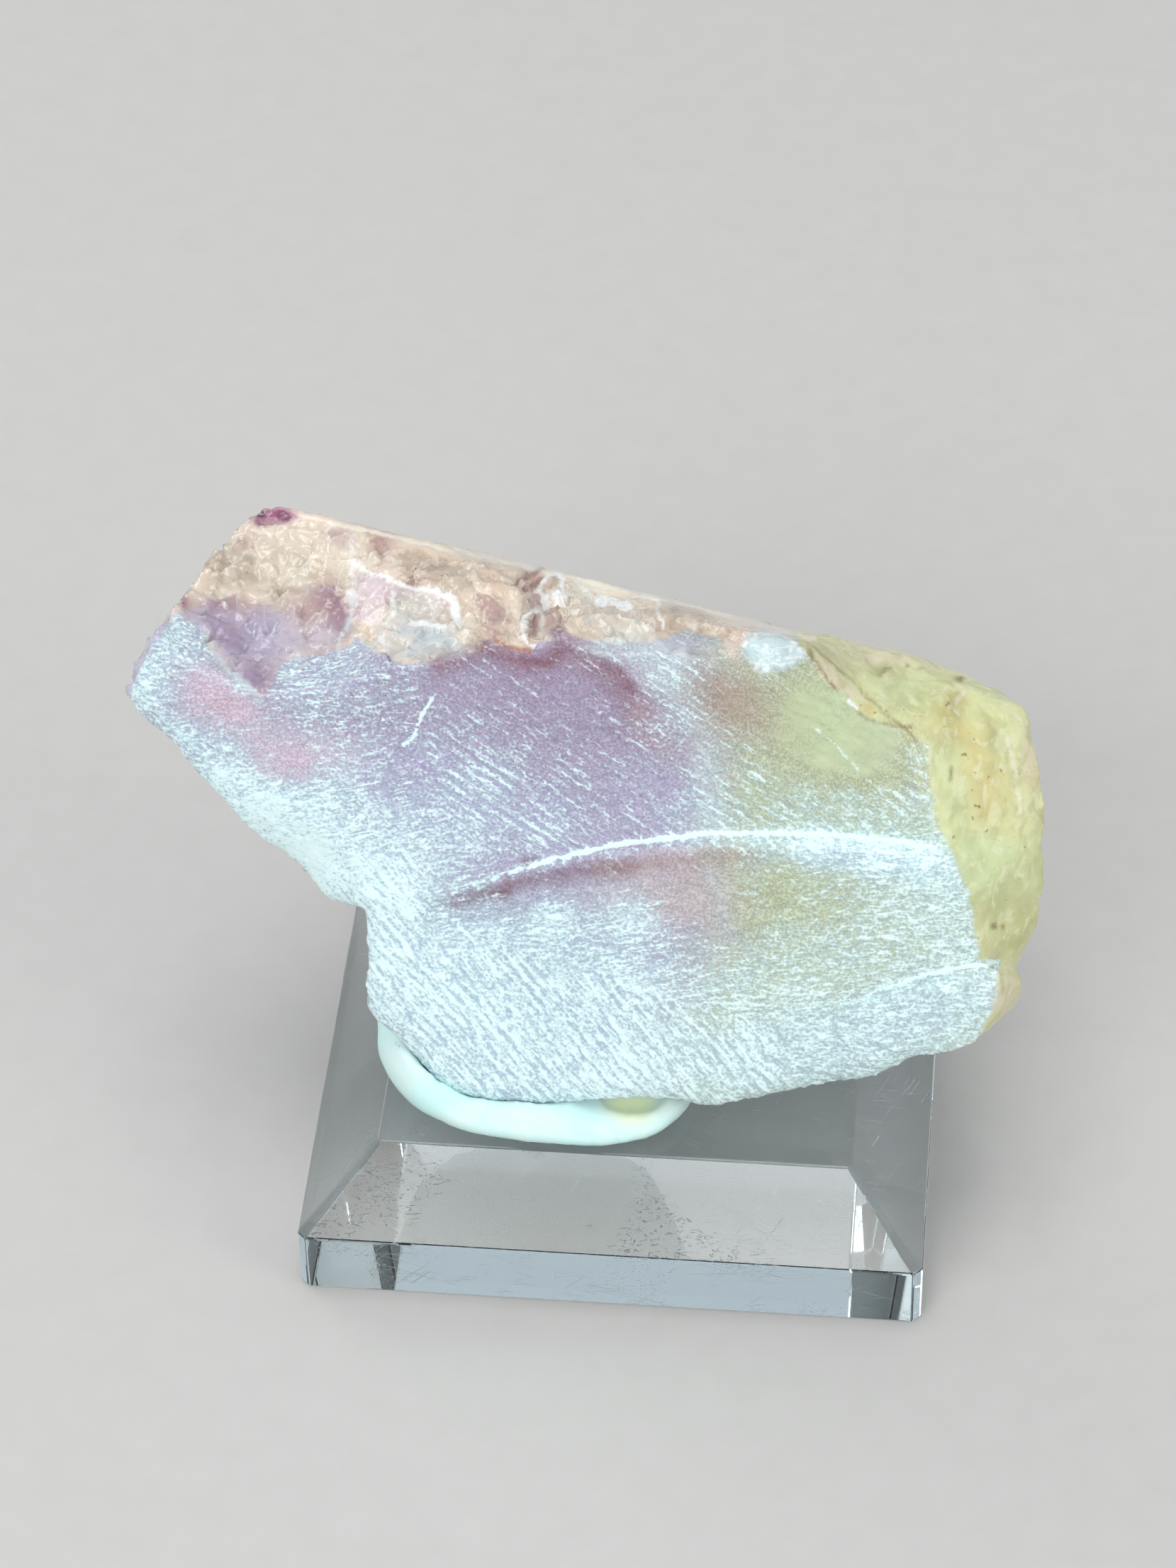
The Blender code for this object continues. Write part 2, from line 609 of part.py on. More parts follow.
def corner_cut_square(side, cut_length, height):
    """Return the eight corners of a square whose corners are cut off."""
    half = side / 2.0
    near = half - cut_length
    quarter = ((half, -near), (half, near))
    corners = []
    for turn in range(4):
        angle = math.pi / 2.0 * turn
        for x, y in quarter:
            u = x * math.cos(angle) - y * math.sin(angle)
            v = x * math.sin(angle) + y * math.cos(angle)
            corners.append((u, v, height))
    return corners


def make_base():
    """Make the clear block: straight walls, then bevels up to the top face."""
    finish = make_material("clear_acrylic", (0.95, 0.97, 0.98), 0.03, transmission=1.0, ior=1.49)
    mesh = bmesh.new()
    levels = (
        corner_cut_square(BLOCK_SIDE, BLOCK_CORNER_CUT, 0.0),
        corner_cut_square(BLOCK_SIDE, BLOCK_CORNER_CUT, BLOCK_WALL_HEIGHT),
        corner_cut_square(BLOCK_SIDE - 2.0 * BLOCK_BEVEL, BLOCK_TOP_CORNER_CUT, BLOCK_HEIGHT),
    )
    rings = [[mesh.verts.new(corner) for corner in level] for level in levels]
    for lower, upper in zip(rings, rings[1:]):
        for index in range(len(lower)):
            after = (index + 1) % len(lower)
            mesh.faces.new((lower[index], lower[after], upper[after], upper[index]))
    mesh.faces.new(rings[0])
    mesh.faces.new(rings[-1])
    bmesh.ops.recalc_face_normals(mesh, faces=mesh.faces)
    return make_object("base", mesh, finish)


def clear_scene():
    """Remove every object that the file opened with."""
    for thing in list(bpy.data.objects):
        bpy.data.objects.remove(thing, do_unlink=True)


clear_scene()
stone = make_fluorite()
make_putty(stone)
make_base()
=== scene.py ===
"""Rough fluorite slab on a clear display block, dressed for its picture.

The stone is painted and cut on its own slab axes, in millimetres: u runs to the right along the
sawn face, v runs up the face and w comes out of it. Its colour zones dip back through the stone.
"""

import logging
import math
from dataclasses import dataclass
from enum import Enum
from typing import Any, Callable, Iterable, Sequence

import bmesh
import bpy
import numpy as np
from mathutils import Matrix, Vector, noise


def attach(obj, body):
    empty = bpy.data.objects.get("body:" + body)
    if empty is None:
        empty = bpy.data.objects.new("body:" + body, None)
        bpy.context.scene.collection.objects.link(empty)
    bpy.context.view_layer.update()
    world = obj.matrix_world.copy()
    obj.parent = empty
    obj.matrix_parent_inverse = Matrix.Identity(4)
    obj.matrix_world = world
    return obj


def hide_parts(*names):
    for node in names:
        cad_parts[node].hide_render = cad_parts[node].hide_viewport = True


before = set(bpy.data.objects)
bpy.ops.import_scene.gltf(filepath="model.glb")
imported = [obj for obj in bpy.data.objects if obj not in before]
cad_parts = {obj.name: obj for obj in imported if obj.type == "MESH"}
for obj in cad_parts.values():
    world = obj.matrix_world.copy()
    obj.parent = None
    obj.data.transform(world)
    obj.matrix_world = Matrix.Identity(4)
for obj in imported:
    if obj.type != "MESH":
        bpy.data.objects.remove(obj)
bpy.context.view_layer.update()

MM = 0.001
BODY = "root"

# Meshes: points closer than the gap are one, shorter edges go, and an edge is cut in two or three
# when it is this many times longer than its limit
JOINING_GAP = 0.003 * MM
SHORTEST_EDGE = 0.005 * MM
CUT_IN_TWO = 1.15
CUT_IN_THREE = 2.2
CUTTING_ROUNDS = 8

Point = tuple[float, float]
Span = tuple[float, float]
Colour = tuple[float, float, float, float]
Key = str | int

log = logging.getLogger("fluorite")


class Tint(Enum):
    """The colours of the piece, as sRGB shares out of 255."""

    CREAM = (226, 213, 194)
    PALE_CREAM = (240, 234, 218)
    PEACH = (233, 216, 199)
    TAN = (222, 201, 180)
    BROWN = (178, 148, 134)
    GREY_BROWN = (186, 172, 156)
    RUST = (178, 116, 84)
    ORANGE = (208, 188, 118)
    MAROON = (124, 76, 88)
    DEEP_MAROON = (98, 52, 66)
    MAGENTA = (150, 80, 118)
    PLUM = (156, 132, 158)
    WINE = (156, 120, 134)
    DUSK = (184, 160, 168)
    MAUVE = (197, 186, 198)
    ROSY_BROWN = (190, 158, 152)
    UMBER = (146, 112, 102)
    GRIT = (194, 184, 198)
    PURPLE = (176, 164, 189)
    LAVENDER = (185, 180, 209)
    LILAC = (192, 188, 208)
    ROSE = (224, 206, 220)
    SHELL = (214, 210, 204)
    # White of the veins, also used for painted glints
    VEIN = (250, 254, 252)
    ICE = (231, 255, 255)
    CHIP_BLUE = (192, 213, 215)
    BLUE_GREY = (182, 204, 218)
    FROST_SHADE = (182, 213, 226)
    CLOUD = (208, 218, 222)
    OLIVE = (198, 209, 174)
    YELLOW_GREEN = (220, 223, 172)
    LEAF = (198, 216, 168)
    MOSS = (178, 178, 126)
    FLAKE = (224, 229, 192)
    PIT = (126, 106, 62)
    PUTTY = (206, 246, 242)

    @property
    def linear(self) -> np.ndarray:
        """Give the colour in linear light."""
        share = np.array(self.value) / 255.0
        return np.where(share <= 0.04045, share / 12.92, ((share + 0.055) / 1.055) ** 2.4)


def rgba(tint: Tint) -> Colour:
    """Give a tint as a shader colour."""
    return (*tint.linear, 1.0)


def smooth(low: float, high: float, values: np.ndarray) -> np.ndarray:
    """Turn each value into a share that rises smoothly from 0 at low to 1 at high."""
    share = np.clip((values - low) / (high - low), 0.0, 1.0)
    return share * share * (3.0 - 2.0 * share)


def line_distance(places: np.ndarray, line: Sequence[Point]) -> np.ndarray:
    """Measure how far places lie from a bent line.

    Args:
        places: One row of u and v for each place.
        line: The corners of the line.

    Returns:
        The distance of each place from the nearest part of the line.
    """
    best = np.full(len(places), np.inf)
    corners = np.array(line, dtype=float)
    for start, end in zip(corners, corners[1:]):
        run = end - start
        share = np.clip((places - start) @ run / (run @ run), 0.0, 1.0)
        gap = places - start - share[:, None] * run
        best = np.minimum(best, np.hypot(gap[:, 0], gap[:, 1]))
    return best


def depth_inside(places: np.ndarray, outline: Sequence[Point]) -> np.ndarray:
    """Measure how deep places lie inside an outline.

    Args:
        places: One row of u and v for each place.
        outline: The corners of the outline, in order.

    Returns:
        The distance from the outline, positive inside it and negative outside.
    """
    corners = list(outline) + [outline[0]]
    odd = np.zeros(len(places), dtype=bool)
    for (start_u, start_v), (end_u, end_v) in zip(corners, corners[1:]):
        if start_v == end_v:
            continue
        spans = (start_v > places[:, 1]) != (end_v > places[:, 1])
        crossing = start_u + (end_u - start_u) * (places[:, 1] - start_v) / (end_v - start_v)
        odd ^= spans & (places[:, 0] < crossing)
    return line_distance(places, corners) * np.where(odd, 1.0, -1.0)


def wander(places: np.ndarray, size: float, reach: float, seed: float) -> np.ndarray:
    """Give each place a soft random shift, so that edges drawn on the places wander.

    Args:
        places: One row of coordinates for each place.
        size: The length over which the shift changes.
        reach: The length of the largest shifts.
        seed: A number that picks the pattern.

    Returns:
        One row of u and v shifts for each place.
    """
    scaled = np.column_stack((places[:, :2] / size, np.full(len(places), seed)))
    return reach * np.array([noise.noise_vector(place)[:2] for place in scaled.tolist()])


# How far, in millimetres, a known place's own value holds
PLACE_CORE = 0.9


def blend_places(places: np.ndarray, named: Sequence[tuple[float, ...]], power: float) -> np.ndarray:
    """Spread values that are known at a few places smoothly over all places.

    Args:
        places: One row of u and v for each place.
        named: The known places, each a u, a v and its values.
        power: How sharply a known place rules what is near it.

    Returns:
        One row of values for each place.
    """
    total = np.zeros((len(places), len(named[0]) - 2))
    weights = np.zeros(len(places))
    for u, v, *values in named:
        weight = 1.0 / (np.hypot(places[:, 0] - u, places[:, 1] - v) + PLACE_CORE) ** power
        total += weight[:, None] * np.array(values)
        weights += weight
    return total / weights[:, None]


@dataclass(frozen=True)
class Region:
    """A zone of one colour inside an outline, blurred over a length at its edge."""

    tint: Tint
    outline: tuple[Point, ...]
    strength: float = 1.0
    blur: float = 0.4

    def cover(self, places: np.ndarray) -> np.ndarray:
        """Say how strongly the zone covers each place."""
        return self.strength * smooth(-self.blur, self.blur, depth_inside(places, self.outline))


@dataclass(frozen=True)
class Blot:
    """An oval patch of one colour, turned by degrees and blurred over a share of its size."""

    tint: Tint
    centre: Point
    half: Point
    strength: float = 1.0
    turn: float = 0.0
    blur: float = 0.6

    def cover(self, places: np.ndarray) -> np.ndarray:
        """Say how strongly the patch covers each place."""
        angle = math.radians(self.turn)
        aside = places - np.array(self.centre)
        along = aside @ np.array((math.cos(angle), math.sin(angle))) / self.half[0]
        across = aside @ np.array((-math.sin(angle), math.cos(angle))) / self.half[1]
        return self.strength * smooth(1.0 + self.blur, 1.0 - self.blur, np.hypot(along, across))


@dataclass(frozen=True)
class Thread:
    """A line of one colour, such as a vein, a crack or a glint, blurred over a length at its sides."""

    tint: Tint
    line: tuple[Point, ...]
    width: float
    strength: float = 1.0
    blur: float = 0.12

    def cover(self, places: np.ndarray) -> np.ndarray:
        """Say how strongly the line covers each place."""
        half = self.width / 2.0
        gap = line_distance(places, self.line)
        return self.strength * smooth(half + self.blur, half - self.blur, gap)


Paint = Region | Blot | Thread


def math_method(operation: str, swapped: bool = False) -> Callable[["Signal", Any], "Signal"]:
    """Make the method behind one of Python's operators.

    Args:
        operation: The Math node's operation.
        swapped: Whether the other value comes first.

    Returns:
        The method.
    """
    def method(signal: "Signal", other: Any) -> "Signal":
        """Add the Math node."""
        return signal.work(operation, *((other, signal) if swapped else (signal, other)))

    return method


class Signal:
    """A node's output that can stand in a sum."""

    def __init__(self, bench: "Bench", socket: bpy.types.NodeSocket) -> None:
        """Keep the output and the bench that it belongs to."""
        self.bench = bench
        self.socket = socket

    def work(self, operation: str, *parts: Any) -> "Signal":
        """Add one Math node that takes these values or outputs, in order."""
        return self.bench.node("ShaderNodeMath", {"operation": operation}, dict(enumerate(parts)))

    __add__, __radd__ = math_method("ADD"), math_method("ADD", swapped=True)
    __sub__, __rsub__ = math_method("SUBTRACT"), math_method("SUBTRACT", swapped=True)
    __mul__, __rmul__ = math_method("MULTIPLY"), math_method("MULTIPLY", swapped=True)
    __truediv__, __rtruediv__ = math_method("DIVIDE"), math_method("DIVIDE", swapped=True)

    def floor(self) -> "Signal":
        """Round down."""
        return self.work("FLOOR", self)

    def ramp(self, low: float, high: float) -> "Signal":
        """Turn the value into a share that rises smoothly from 0 at low to 1 at high."""
        values = {"Value": self, "From Min": low, "From Max": high}
        return self.bench.node("ShaderNodeMapRange", {"interpolation_type": "SMOOTHSTEP"}, values)


class Bench:
    """A node tree under construction."""

    def __init__(self, tree: bpy.types.NodeTree) -> None:
        """Start with an empty tree."""
        self.tree = tree
        tree.nodes.clear()

    @staticmethod
    def pick(sockets: Iterable[bpy.types.NodeSocket], key: Key) -> bpy.types.NodeSocket:
        """Find a socket among those in use.

        Args:
            sockets: A node's inputs or outputs.
            key: The socket's name, or its number among those in use.

        Returns:
            The socket.
        """
        in_use = [socket for socket in sockets if socket.enabled]
        if isinstance(key, int):
            return in_use[key]
        return next(socket for socket in in_use if key in (socket.name, socket.identifier))

    def plug(self, socket: bpy.types.NodeSocket, value: Any) -> None:
        """Link an output to a socket, or set the socket's own value."""
        if isinstance(value, Signal):
            self.tree.links.new(value.socket, socket)
        else:
            socket.default_value = value

    def node(self, kind: str, settings: dict | None = None, values: dict | None = None,
             output: Key = 0) -> Signal:
        """Add a node.

        Args:
            kind: The node's type.
            settings: Its own settings, which are set first.
            values: The values or outputs of its sockets.
            output: The output to give back.

        Returns:
            The chosen output.
        """
        made = self.tree.nodes.new(kind)
        for name, setting in (settings or {}).items():
            setattr(made, name, setting)
        for key, value in (values or {}).items():
            self.plug(self.pick(made.inputs, key), value)
        if not made.outputs:
            return Signal(self, None)
        return Signal(self, self.pick(made.outputs, output))

    def more(self, signal: Signal, output: Key) -> Signal:
        """Give another output of a signal's node."""
        return Signal(self, self.pick(signal.socket.node.outputs, output))

    def mix(self, share: Any, first: Any, second: Any, blend: str = "MIX") -> Signal:
        """Mix two colours, with a share from 0 to 1 of the second."""
        settings = {"data_type": "RGBA", "blend_type": blend}
        return self.node("ShaderNodeMix", settings, {"Factor": share, "A": first, "B": second})

    def vector(self, operation: str, *parts: Any) -> Signal:
        """Work on vectors with one Vector Math node."""
        return self.node("ShaderNodeVectorMath", {"operation": operation}, dict(enumerate(parts)))

    def grain(self, place: Signal, size: float, detail: float = 2.0, twist: float = 0.0,
              output: int = 0) -> Signal:
        """Add soft noise around one half, with larger lumps of a size in millimetres."""
        values = {"Vector": place, "Scale": 1.0 / size, "Detail": detail, "Distortion": twist}
        return self.node("ShaderNodeTexNoise", {"noise_dimensions": "3D"}, values, output)

    def shift(self, place: Signal, size: float, detail: float, reach: float) -> Signal:
        """Give each place a soft random shift, in millimetres."""
        return self.vector("MULTIPLY", self.grain(place, size, detail, 0.0, 1), (reach, reach, reach))

    def turn(self, place: Signal, angle: float) -> Signal:
        """Turn places about the axis that comes out of the face, by an angle in radians."""
        settings = {"rotation_type": "Z_AXIS"}
        return self.node("ShaderNodeVectorRotate", settings, {"Vector": place, "Angle": angle})

    def strokes(self, place: Signal, direction: float, length: float, width: float) -> Signal:
        """Add noise that is drawn out into strokes.

        Args:
            place: Where the strokes are read, in millimetres on the slab's axes.
            direction: The way the strokes run on the face, in degrees above level.
            length: Their length in millimetres.
            width: Their width in millimetres.

        Returns:
            The strokes, around one half.
        """
        turned = self.turn(place, -math.radians(direction))
        drawn = self.vector("MULTIPLY", turned, (1.0 / length, 1.0 / width, 1.0 / width))
        return self.node("ShaderNodeTexNoise", {}, {"Vector": drawn, "Scale": 1.0, "Detail": 1.0})

    def facets(self, place: Signal, scale: Any) -> Signal:
        """Add flat facets that tilt at random and step where they meet.

        Args:
            place: Where the facets are read, in millimetres.
            scale: How many of them there are in a millimetre.

        Returns:
            The height, around zero.
        """
        values = {"Vector": place, "Scale": scale}
        middle = self.node("ShaderNodeTexVoronoi", {"feature": "F1"}, values, "Position")
        tilt = self.vector("SUBTRACT", self.more(middle, "Color"), (0.5, 0.5, 0.5))
        return self.vector("DOT_PRODUCT", self.vector("SUBTRACT", place, middle), tilt)

    def furrows(self, place: Signal, direction: float, pitch: float) -> Signal:
        """Add rows of saw furrows.

        Args:
            place: Where the furrows are read, in millimetres on the slab's axes.
            direction: The way the furrows run on the face, in degrees above level.
            pitch: Their distance from each other in millimetres.

        Returns:
            The furrows, from 0 in a furrow to 1 on a ridge.
        """
        values = {
            "Vector": self.turn(place, math.pi / 2.0 - math.radians(direction)),
            "Scale": math.pi / (10.0 * pitch),
            "Distortion": 2.2,
            "Detail": 2.0,
            "Detail Scale": 1.2,
        }
        settings = {"wave_type": "BANDS", "bands_direction": "X"}
        return self.node("ShaderNodeTexWave", settings, values, "Fac")


class MaterialBench(Bench):
    """A material's node tree under construction."""

    def __init__(self, name: str) -> None:
        """Start a material of this name."""
        self.material = bpy.data.materials.new(name)
        self.material.use_nodes = True
        super().__init__(self.material.node_tree)

    def attribute(self, name: str, output: str = "Fac") -> Signal:
        """Read one of the piece's own attributes."""
        settings = {"attribute_type": "GEOMETRY", "attribute_name": name}
        return self.node("ShaderNodeAttribute", settings, output=output)

    def place(self, origin: Sequence[float] = (0.0, 0.0, 0.0), tilt: float = 0.0) -> Signal:
        """Read the place on the piece in millimetres.

        Args:
            origin: The zero point, in millimetres.
            tilt: The turn of the axes about X, in radians.

        Returns:
            The place, as a vector.
        """
        spot = self.node("ShaderNodeTexCoord", output="Object")
        values = {
            "Vector": spot,
            "Location": tuple(MM * part for part in origin),
            "Rotation": (tilt, 0.0, 0.0),
            "Scale": (MM, MM, MM),
        }
        return self.node("ShaderNodeMapping", {"vector_type": "TEXTURE"}, values)

    def bump(self, height: Signal, rise: float, strength: float = 1.0) -> Signal:
        """Turn a height into a normal, where a height of 1 stands for a rise in millimetres."""
        values = {"Height": height, "Distance": rise * MM, "Strength": strength}
        return self.node("ShaderNodeBump", {}, values)

    def finish(self, values: dict, inside: Signal | None = None) -> bpy.types.Material:
        """Close the material with one Principled shader.

        Args:
            values: The values or outputs of the shader's sockets.
            inside: The shader of what fills the piece, where light goes through it.

        Returns:
            The material.
        """
        shader = self.node("ShaderNodeBsdfPrincipled", {}, values)
        ends = {"Surface": shader} if inside is None else {"Surface": shader, "Volume": inside}
        self.node("ShaderNodeOutputMaterial", {}, ends)
        return self.material


# The slab stands in its place by a lean about X and a zero point on the block
SLAB_LEAN = math.radians(20.0)
SLAB_ZERO = (-1.1, -12.3, 10.8)
SLAB_TILT = math.pi / 2.0 - SLAB_LEAN

# Colour zones dip towards the back: how far they drop and drift for each millimetre of depth
ZONE_DIP = 0.41
ZONE_DRIFT = 0.078
ZONE_SPREAD = 0.0035


class Stroke(Enum):
    """The ways the saw's strokes run on the face: degrees above level, length and width in mm."""

    LEVEL = (4.0, 0.55, 0.17)
    RISING = (15.0, 0.6, 0.17)
    FALLING = (-33.0, 0.75, 0.18)
    STEEP = (-50.0, 0.85, 0.2)

    @property
    def attribute(self) -> str:
        """Name the attribute that says how strongly this way rules."""
        return f"stroke_{self.name.lower()}"


# Where each way of the strokes rules on the face
STROKE_PLACES = {
    Stroke.LEVEL: (
        (-17, 25), (-14, 25.5), (-18, 22.5), (16, 16), (18, 12.5), (12, 11.5), (20.5, 8), (9, 8), (14, 3.8),
        (10, 13), (19, 17), (-25, 27), (-24, 22.5),
    ),
    Stroke.RISING: (
        (-12, 21.5), (-13.5, 19), (-8, 11.5), (-3.5, 12.5), (1.5, 11.5), (-20, 19.5), (4, 9.5), (-16.5, 17),
        (17.5, 7), (13, 8),
    ),
    Stroke.FALLING: (
        (-8.5, 22), (-4, 20), (0, 22), (3, 20), (-5, 26), (9, 22), (12, 21), (-1, 18), (15, 22), (4, 26),
    ),
    Stroke.STEEP: (
        (-13, 12.5), (-11.5, 7.5), (-8, 4), (-12.5, 10), (-4, 3), (0, 4), (5, 3.5), (-7, 8), (9, 4.5),
        (2.5, 6),
    ),
}
STROKE_SHARPNESS = 5.0

# The face's upper edge, from left to right, where the sawn face ends and the stone is broken
BREAK_EDGE = (
    (-25.4, 30.6), (-24.5, 30), (-23.7, 29.4), (-23.3, 28.4), (-22.2, 27.1), (-21, 26.2), (-20.2, 25.4),
    (-19.6, 26.4), (-19, 27.9), (-17.6, 28.3), (-15.6, 28.7), (-14.5, 29.5), (-13.6, 29), (-12.9, 28.6),
    (-11.7, 28.2), (-10.2, 28.4), (-9, 29), (-8.3, 29.6), (-7.2, 30.3), (-6.5, 29.7), (-4.9, 29.4),
    (-3.9, 30), (-2.3, 30.4), (0, 30.1), (3.1, 30.4), (4.6, 31.1), (6.6, 30.9), (7.8, 30.2), (8.9, 28.7),
    (10.5, 29.1), (11.6, 29.9),
)

# The whole sawn face: its left tip, the break edge, and its right and lower sides
SAWN_OUTLINE = ((-31, 24), (-28.15, 25.2), (-27.7, 26.7), (-26.9, 28.15)) + BREAK_EDGE + (
    (12.6, 28.9), (13.9, 27.3), (15.8, 26.3), (17.8, 25.9), (18.9, 24.6), (19.1, 22.3), (19.5, 20),
    (20.4, 18), (21.5, 15.7), (22, 13.9), (22.5, 11.1), (23.7, 10.9), (23.7, 8.7), (22.85, 6.05), (22, 2),
    (10, -4), (-12, -4), (-31, 8),
)

# How white the saw left the face at chosen places: u, v and a level, from 0 for clear stone up
FROST_PLACES = (
    (-25.6, 29, 0.7), (-24.6, 28, 0.64), (-27.6, 25.4, 0.84), (-27.3, 26.8, 0.76), (-24.3, 25, 0.3),
    (-26, 26, 0.6), (-23.2, 25.8, 0.16), (-22.2, 24.6, 0.24), (-21.3, 25, 0.2), (-24.2, 26.4, 0.3),
    (-18.6, 21.7, 0.28), (-20.5, 22.6, 0.3), (-22, 22.3, 0.6), (-25, 22.6, 0.78), (-21.3, 26.2, 0.72),
    (-18, 26, 0.62), (-16, 27.6, 0.56), (-16, 24, 0.5), (-13, 27.5, 0.48), (-13, 24.5, 0.46),
    (-12, 21.5, 0.42), (-15, 18.6, 0.66), (-12.5, 16.5, 0.74), (-17.6, 15.8, 1.2), (-17, 18, 0.85),
    (-20, 18.2, 1.05), (-22.5, 20.4, 0.95), (-9, 24, 0.44), (-5, 26, 0.3), (-9, 27.4, 0.32), (-7, 21, 0.6),
    (-8, 17, 0.66), (-3, 22, 0.42), (-3, 18, 0.6), (0, 24.5, 0.3), (0.5, 20.5, 0.36), (1.5, 27.3, 0.24),
    (-4, 28.2, 0.2), (3.4, 24.2, 0.44), (3.6, 28, 0.56), (4.6, 25.6, 0.56), (3.2, 21.5, 0.36),
    (4.5, 19.4, 0.5), (6.2, 22.5, 0.46), (6.4, 19.8, 0.56), (7.6, 26.5, 0.14), (8.8, 24.2, 0.36),
    (9.4, 21.6, 0.46), (12, 20.7, 0.56), (14.6, 20.6, 0.62), (9.5, 28.4, 0.4), (11.5, 26.5, 0),
    (14.5, 24.6, 0), (13, 23.4, 0), (15.4, 23, 0), (10.6, 24.6, 0.12), (16.4, 21.4, 0.5),
    (18.4, 23.8, 0.62), (18.1, 21, 0.6), (17.2, 19.5, 0.6), (16.6, 24.8, 0), (16.9, 23, 0.1),
    (-8, 13.4, 0.4), (-5, 14.2, 0.2), (-1.5, 15.2, 0.16), (2.5, 16.2, 0.16), (6.5, 15.8, 0.2),
    (5.5, 13.6, 0.16), (10.6, 14.9, 0.24), (8, 12.6, 0.26), (13.2, 15.4, 0.46), (13.4, 13.4, 0.44),
    (9, 17.6, 0.55), (12.5, 17.9, 0.86), (16, 17.4, 0.86), (18.9, 16.8, 0.84), (16.2, 15, 0.56),
    (18.2, 14.4, 0.66), (20.3, 14.4, 0.7), (17, 12.6, 0.62), (20.8, 11.8, 0.72), (13.6, 11.4, 0.62),
    (10, 10.6, 0.56), (6, 10.9, 0.5), (2, 12.4, 0.76), (-3, 12, 0.8), (-7.6, 10, 0.78), (-9.8, 12, 0.62),
    (-12, 12.6, 0.94), (-13.3, 14.2, 0.95), (-12.8, 9, 0.86), (-12, 5.6, 0.74), (-8.9, 6, 0.86),
    (-9, 2.6, 0.74), (-5.6, 4.6, 0.84), (-5, 0.8, 0.72), (-1, 2.2, 0.8), (1.6, 2.4, 0.9), (-2.4, 7.6, 0.76),
    (2, 8, 0.76), (4.6, 4.6, 0.72), (8.6, 4.2, 0.8), (12.6, 5, 0.66), (15.4, 4.6, 0.68), (16, 6.8, 0.7),
    (19.6, 8, 0.66), (22.2, 9.2, 0.66), (18.6, 10.6, 0.6), (14.6, 9, 0.56), (8, 8.6, 0.66), (12, 8.4, 0.7),
    (6.4, 6.9, 0.6),
)
FROST_SHARPNESS = 3.4

# Single scores left by the saw on the face: how clear each is, then its line
SCORES = (
    (0.95, ((-8.6, 11.6), (-5.5, 7.5))),
    (0.95, ((-6, 10.3), (-3.7, 7))),
    (0.95, ((-1.2, 9), (1.8, 3.9))),
    (0.7, ((-0.2, 9.2), (2.2, 5.6))),
    (0.6, ((3.8, 7.1), (5.7, 4.4))),
    (0.6, ((7.9, 6.7), (8.8, 5.1), (9.5, 3.6))),
    (0.7, ((1.5, 6.8), (4, 7.2), (6.4, 7.9))),
    (0.7, ((4.8, 7), (8.5, 7.3), (10.7, 7.3))),
    (0.6, ((-12.4, 8.1), (-7.9, 3.3))),
    (0.5, ((-13.9, 8.1), (-10.7, 3.5))),
    (1, ((-10.1, 26.3), (-10.6, 25.2), (-10.8, 24.8), (-11.2, 23.8), (-11.8, 23))),
    (0.6, ((-14.8, 20.7), (-12.4, 21.9))),
    (0.5, ((-16.2, 21.5), (-13.1, 22.6))),
    (0.55, ((-15, 24.9), (-13, 25.4), (-10.8, 26.2))),
    (0.5, ((-18.4, 24.5), (-15.6, 24.9))),
    (0.6, ((-21.8, 21.4), (-20.4, 20.4))),
    (0.6, ((-3.1, 23.2), (-0.5, 20.7))),
    (0.55, ((-6.5, 23.3), (-2.9, 20.7))),
    (0.55, ((-8.9, 23.6), (-4.2, 20.5))),
    (0.4, ((0.5, 24.9), (3, 21.8))),
    (0.6, ((12.4, 25.3), (13.5, 24.4), (15, 22.7), (16.5, 21.3))),
)

# The two ledges that the saw left on the face, and the distance between its furrows. A painted highlight runs
# along each ledge's crest.
LEDGE_LINE = (
    (-8.85, 13.7), (-7.2, 14.3), (-5.5, 15.1), (-2.9, 16.1), (0, 17), (2.8, 17.65), (5.6, 18.15),
    (8.6, 18.45), (11.7, 18.6), (14.5, 18.6), (17.1, 18.4), (19.7, 18.1),
)
STEP_LINE = ((13, 7), (15.1, 7.9), (17.2, 8.9), (19.3, 9.8), (21.2, 10.4), (23.6, 10.9))
SAW_PITCH = 0.65

# The rim between the broken top and the back
TOP_LINE = (
    (-19, 37.8), (-16.4, 37.2), (-6.7, 35.3), (3.4, 33.2), (12.1, 31.1), (13.3, 31.1), (20.95, 29.3),
    (23.1, 28),
)

# The broken top with its peach crystal, the natural skin at the right end, and the purple hollow
# at the left. The first two reach past the stone.
PEACH_OUTLINE = BREAK_EDGE + (
    (11, 30.7), (9.6, 32.2), (9.6, 34), (10.5, 60), (-40, 60), (-40, 28), (-26.5, 29.4),
)
SKIN_OUTLINE = (
    (11.2, 31), (12, 29.9), (12.8, 28.6), (14.3, 26.9), (15.6, 26.1), (17.2, 25.6), (17.9, 24.8),
    (18.4, 22.1), (19.3, 20), (20.5, 18), (21.5, 15.7), (22, 13.9), (22.5, 11.1), (23.7, 10.9), (23.7, 8.7),
    (22.9, 6.1), (21, 5.2), (30, 0), (36, 30), (14, 40), (9.6, 34),
)
HOLLOW_OUTLINE = (
    (-25.4, 30.9), (-24, 31.5), (-19.2, 31.6), (-16.2, 33.1), (-14.9, 31), (-15.6, 28.7), (-17.6, 28.3),
    (-19, 27.4), (-20.2, 25.1), (-21, 26.1), (-22.4, 27.4), (-23.4, 28.9),
)
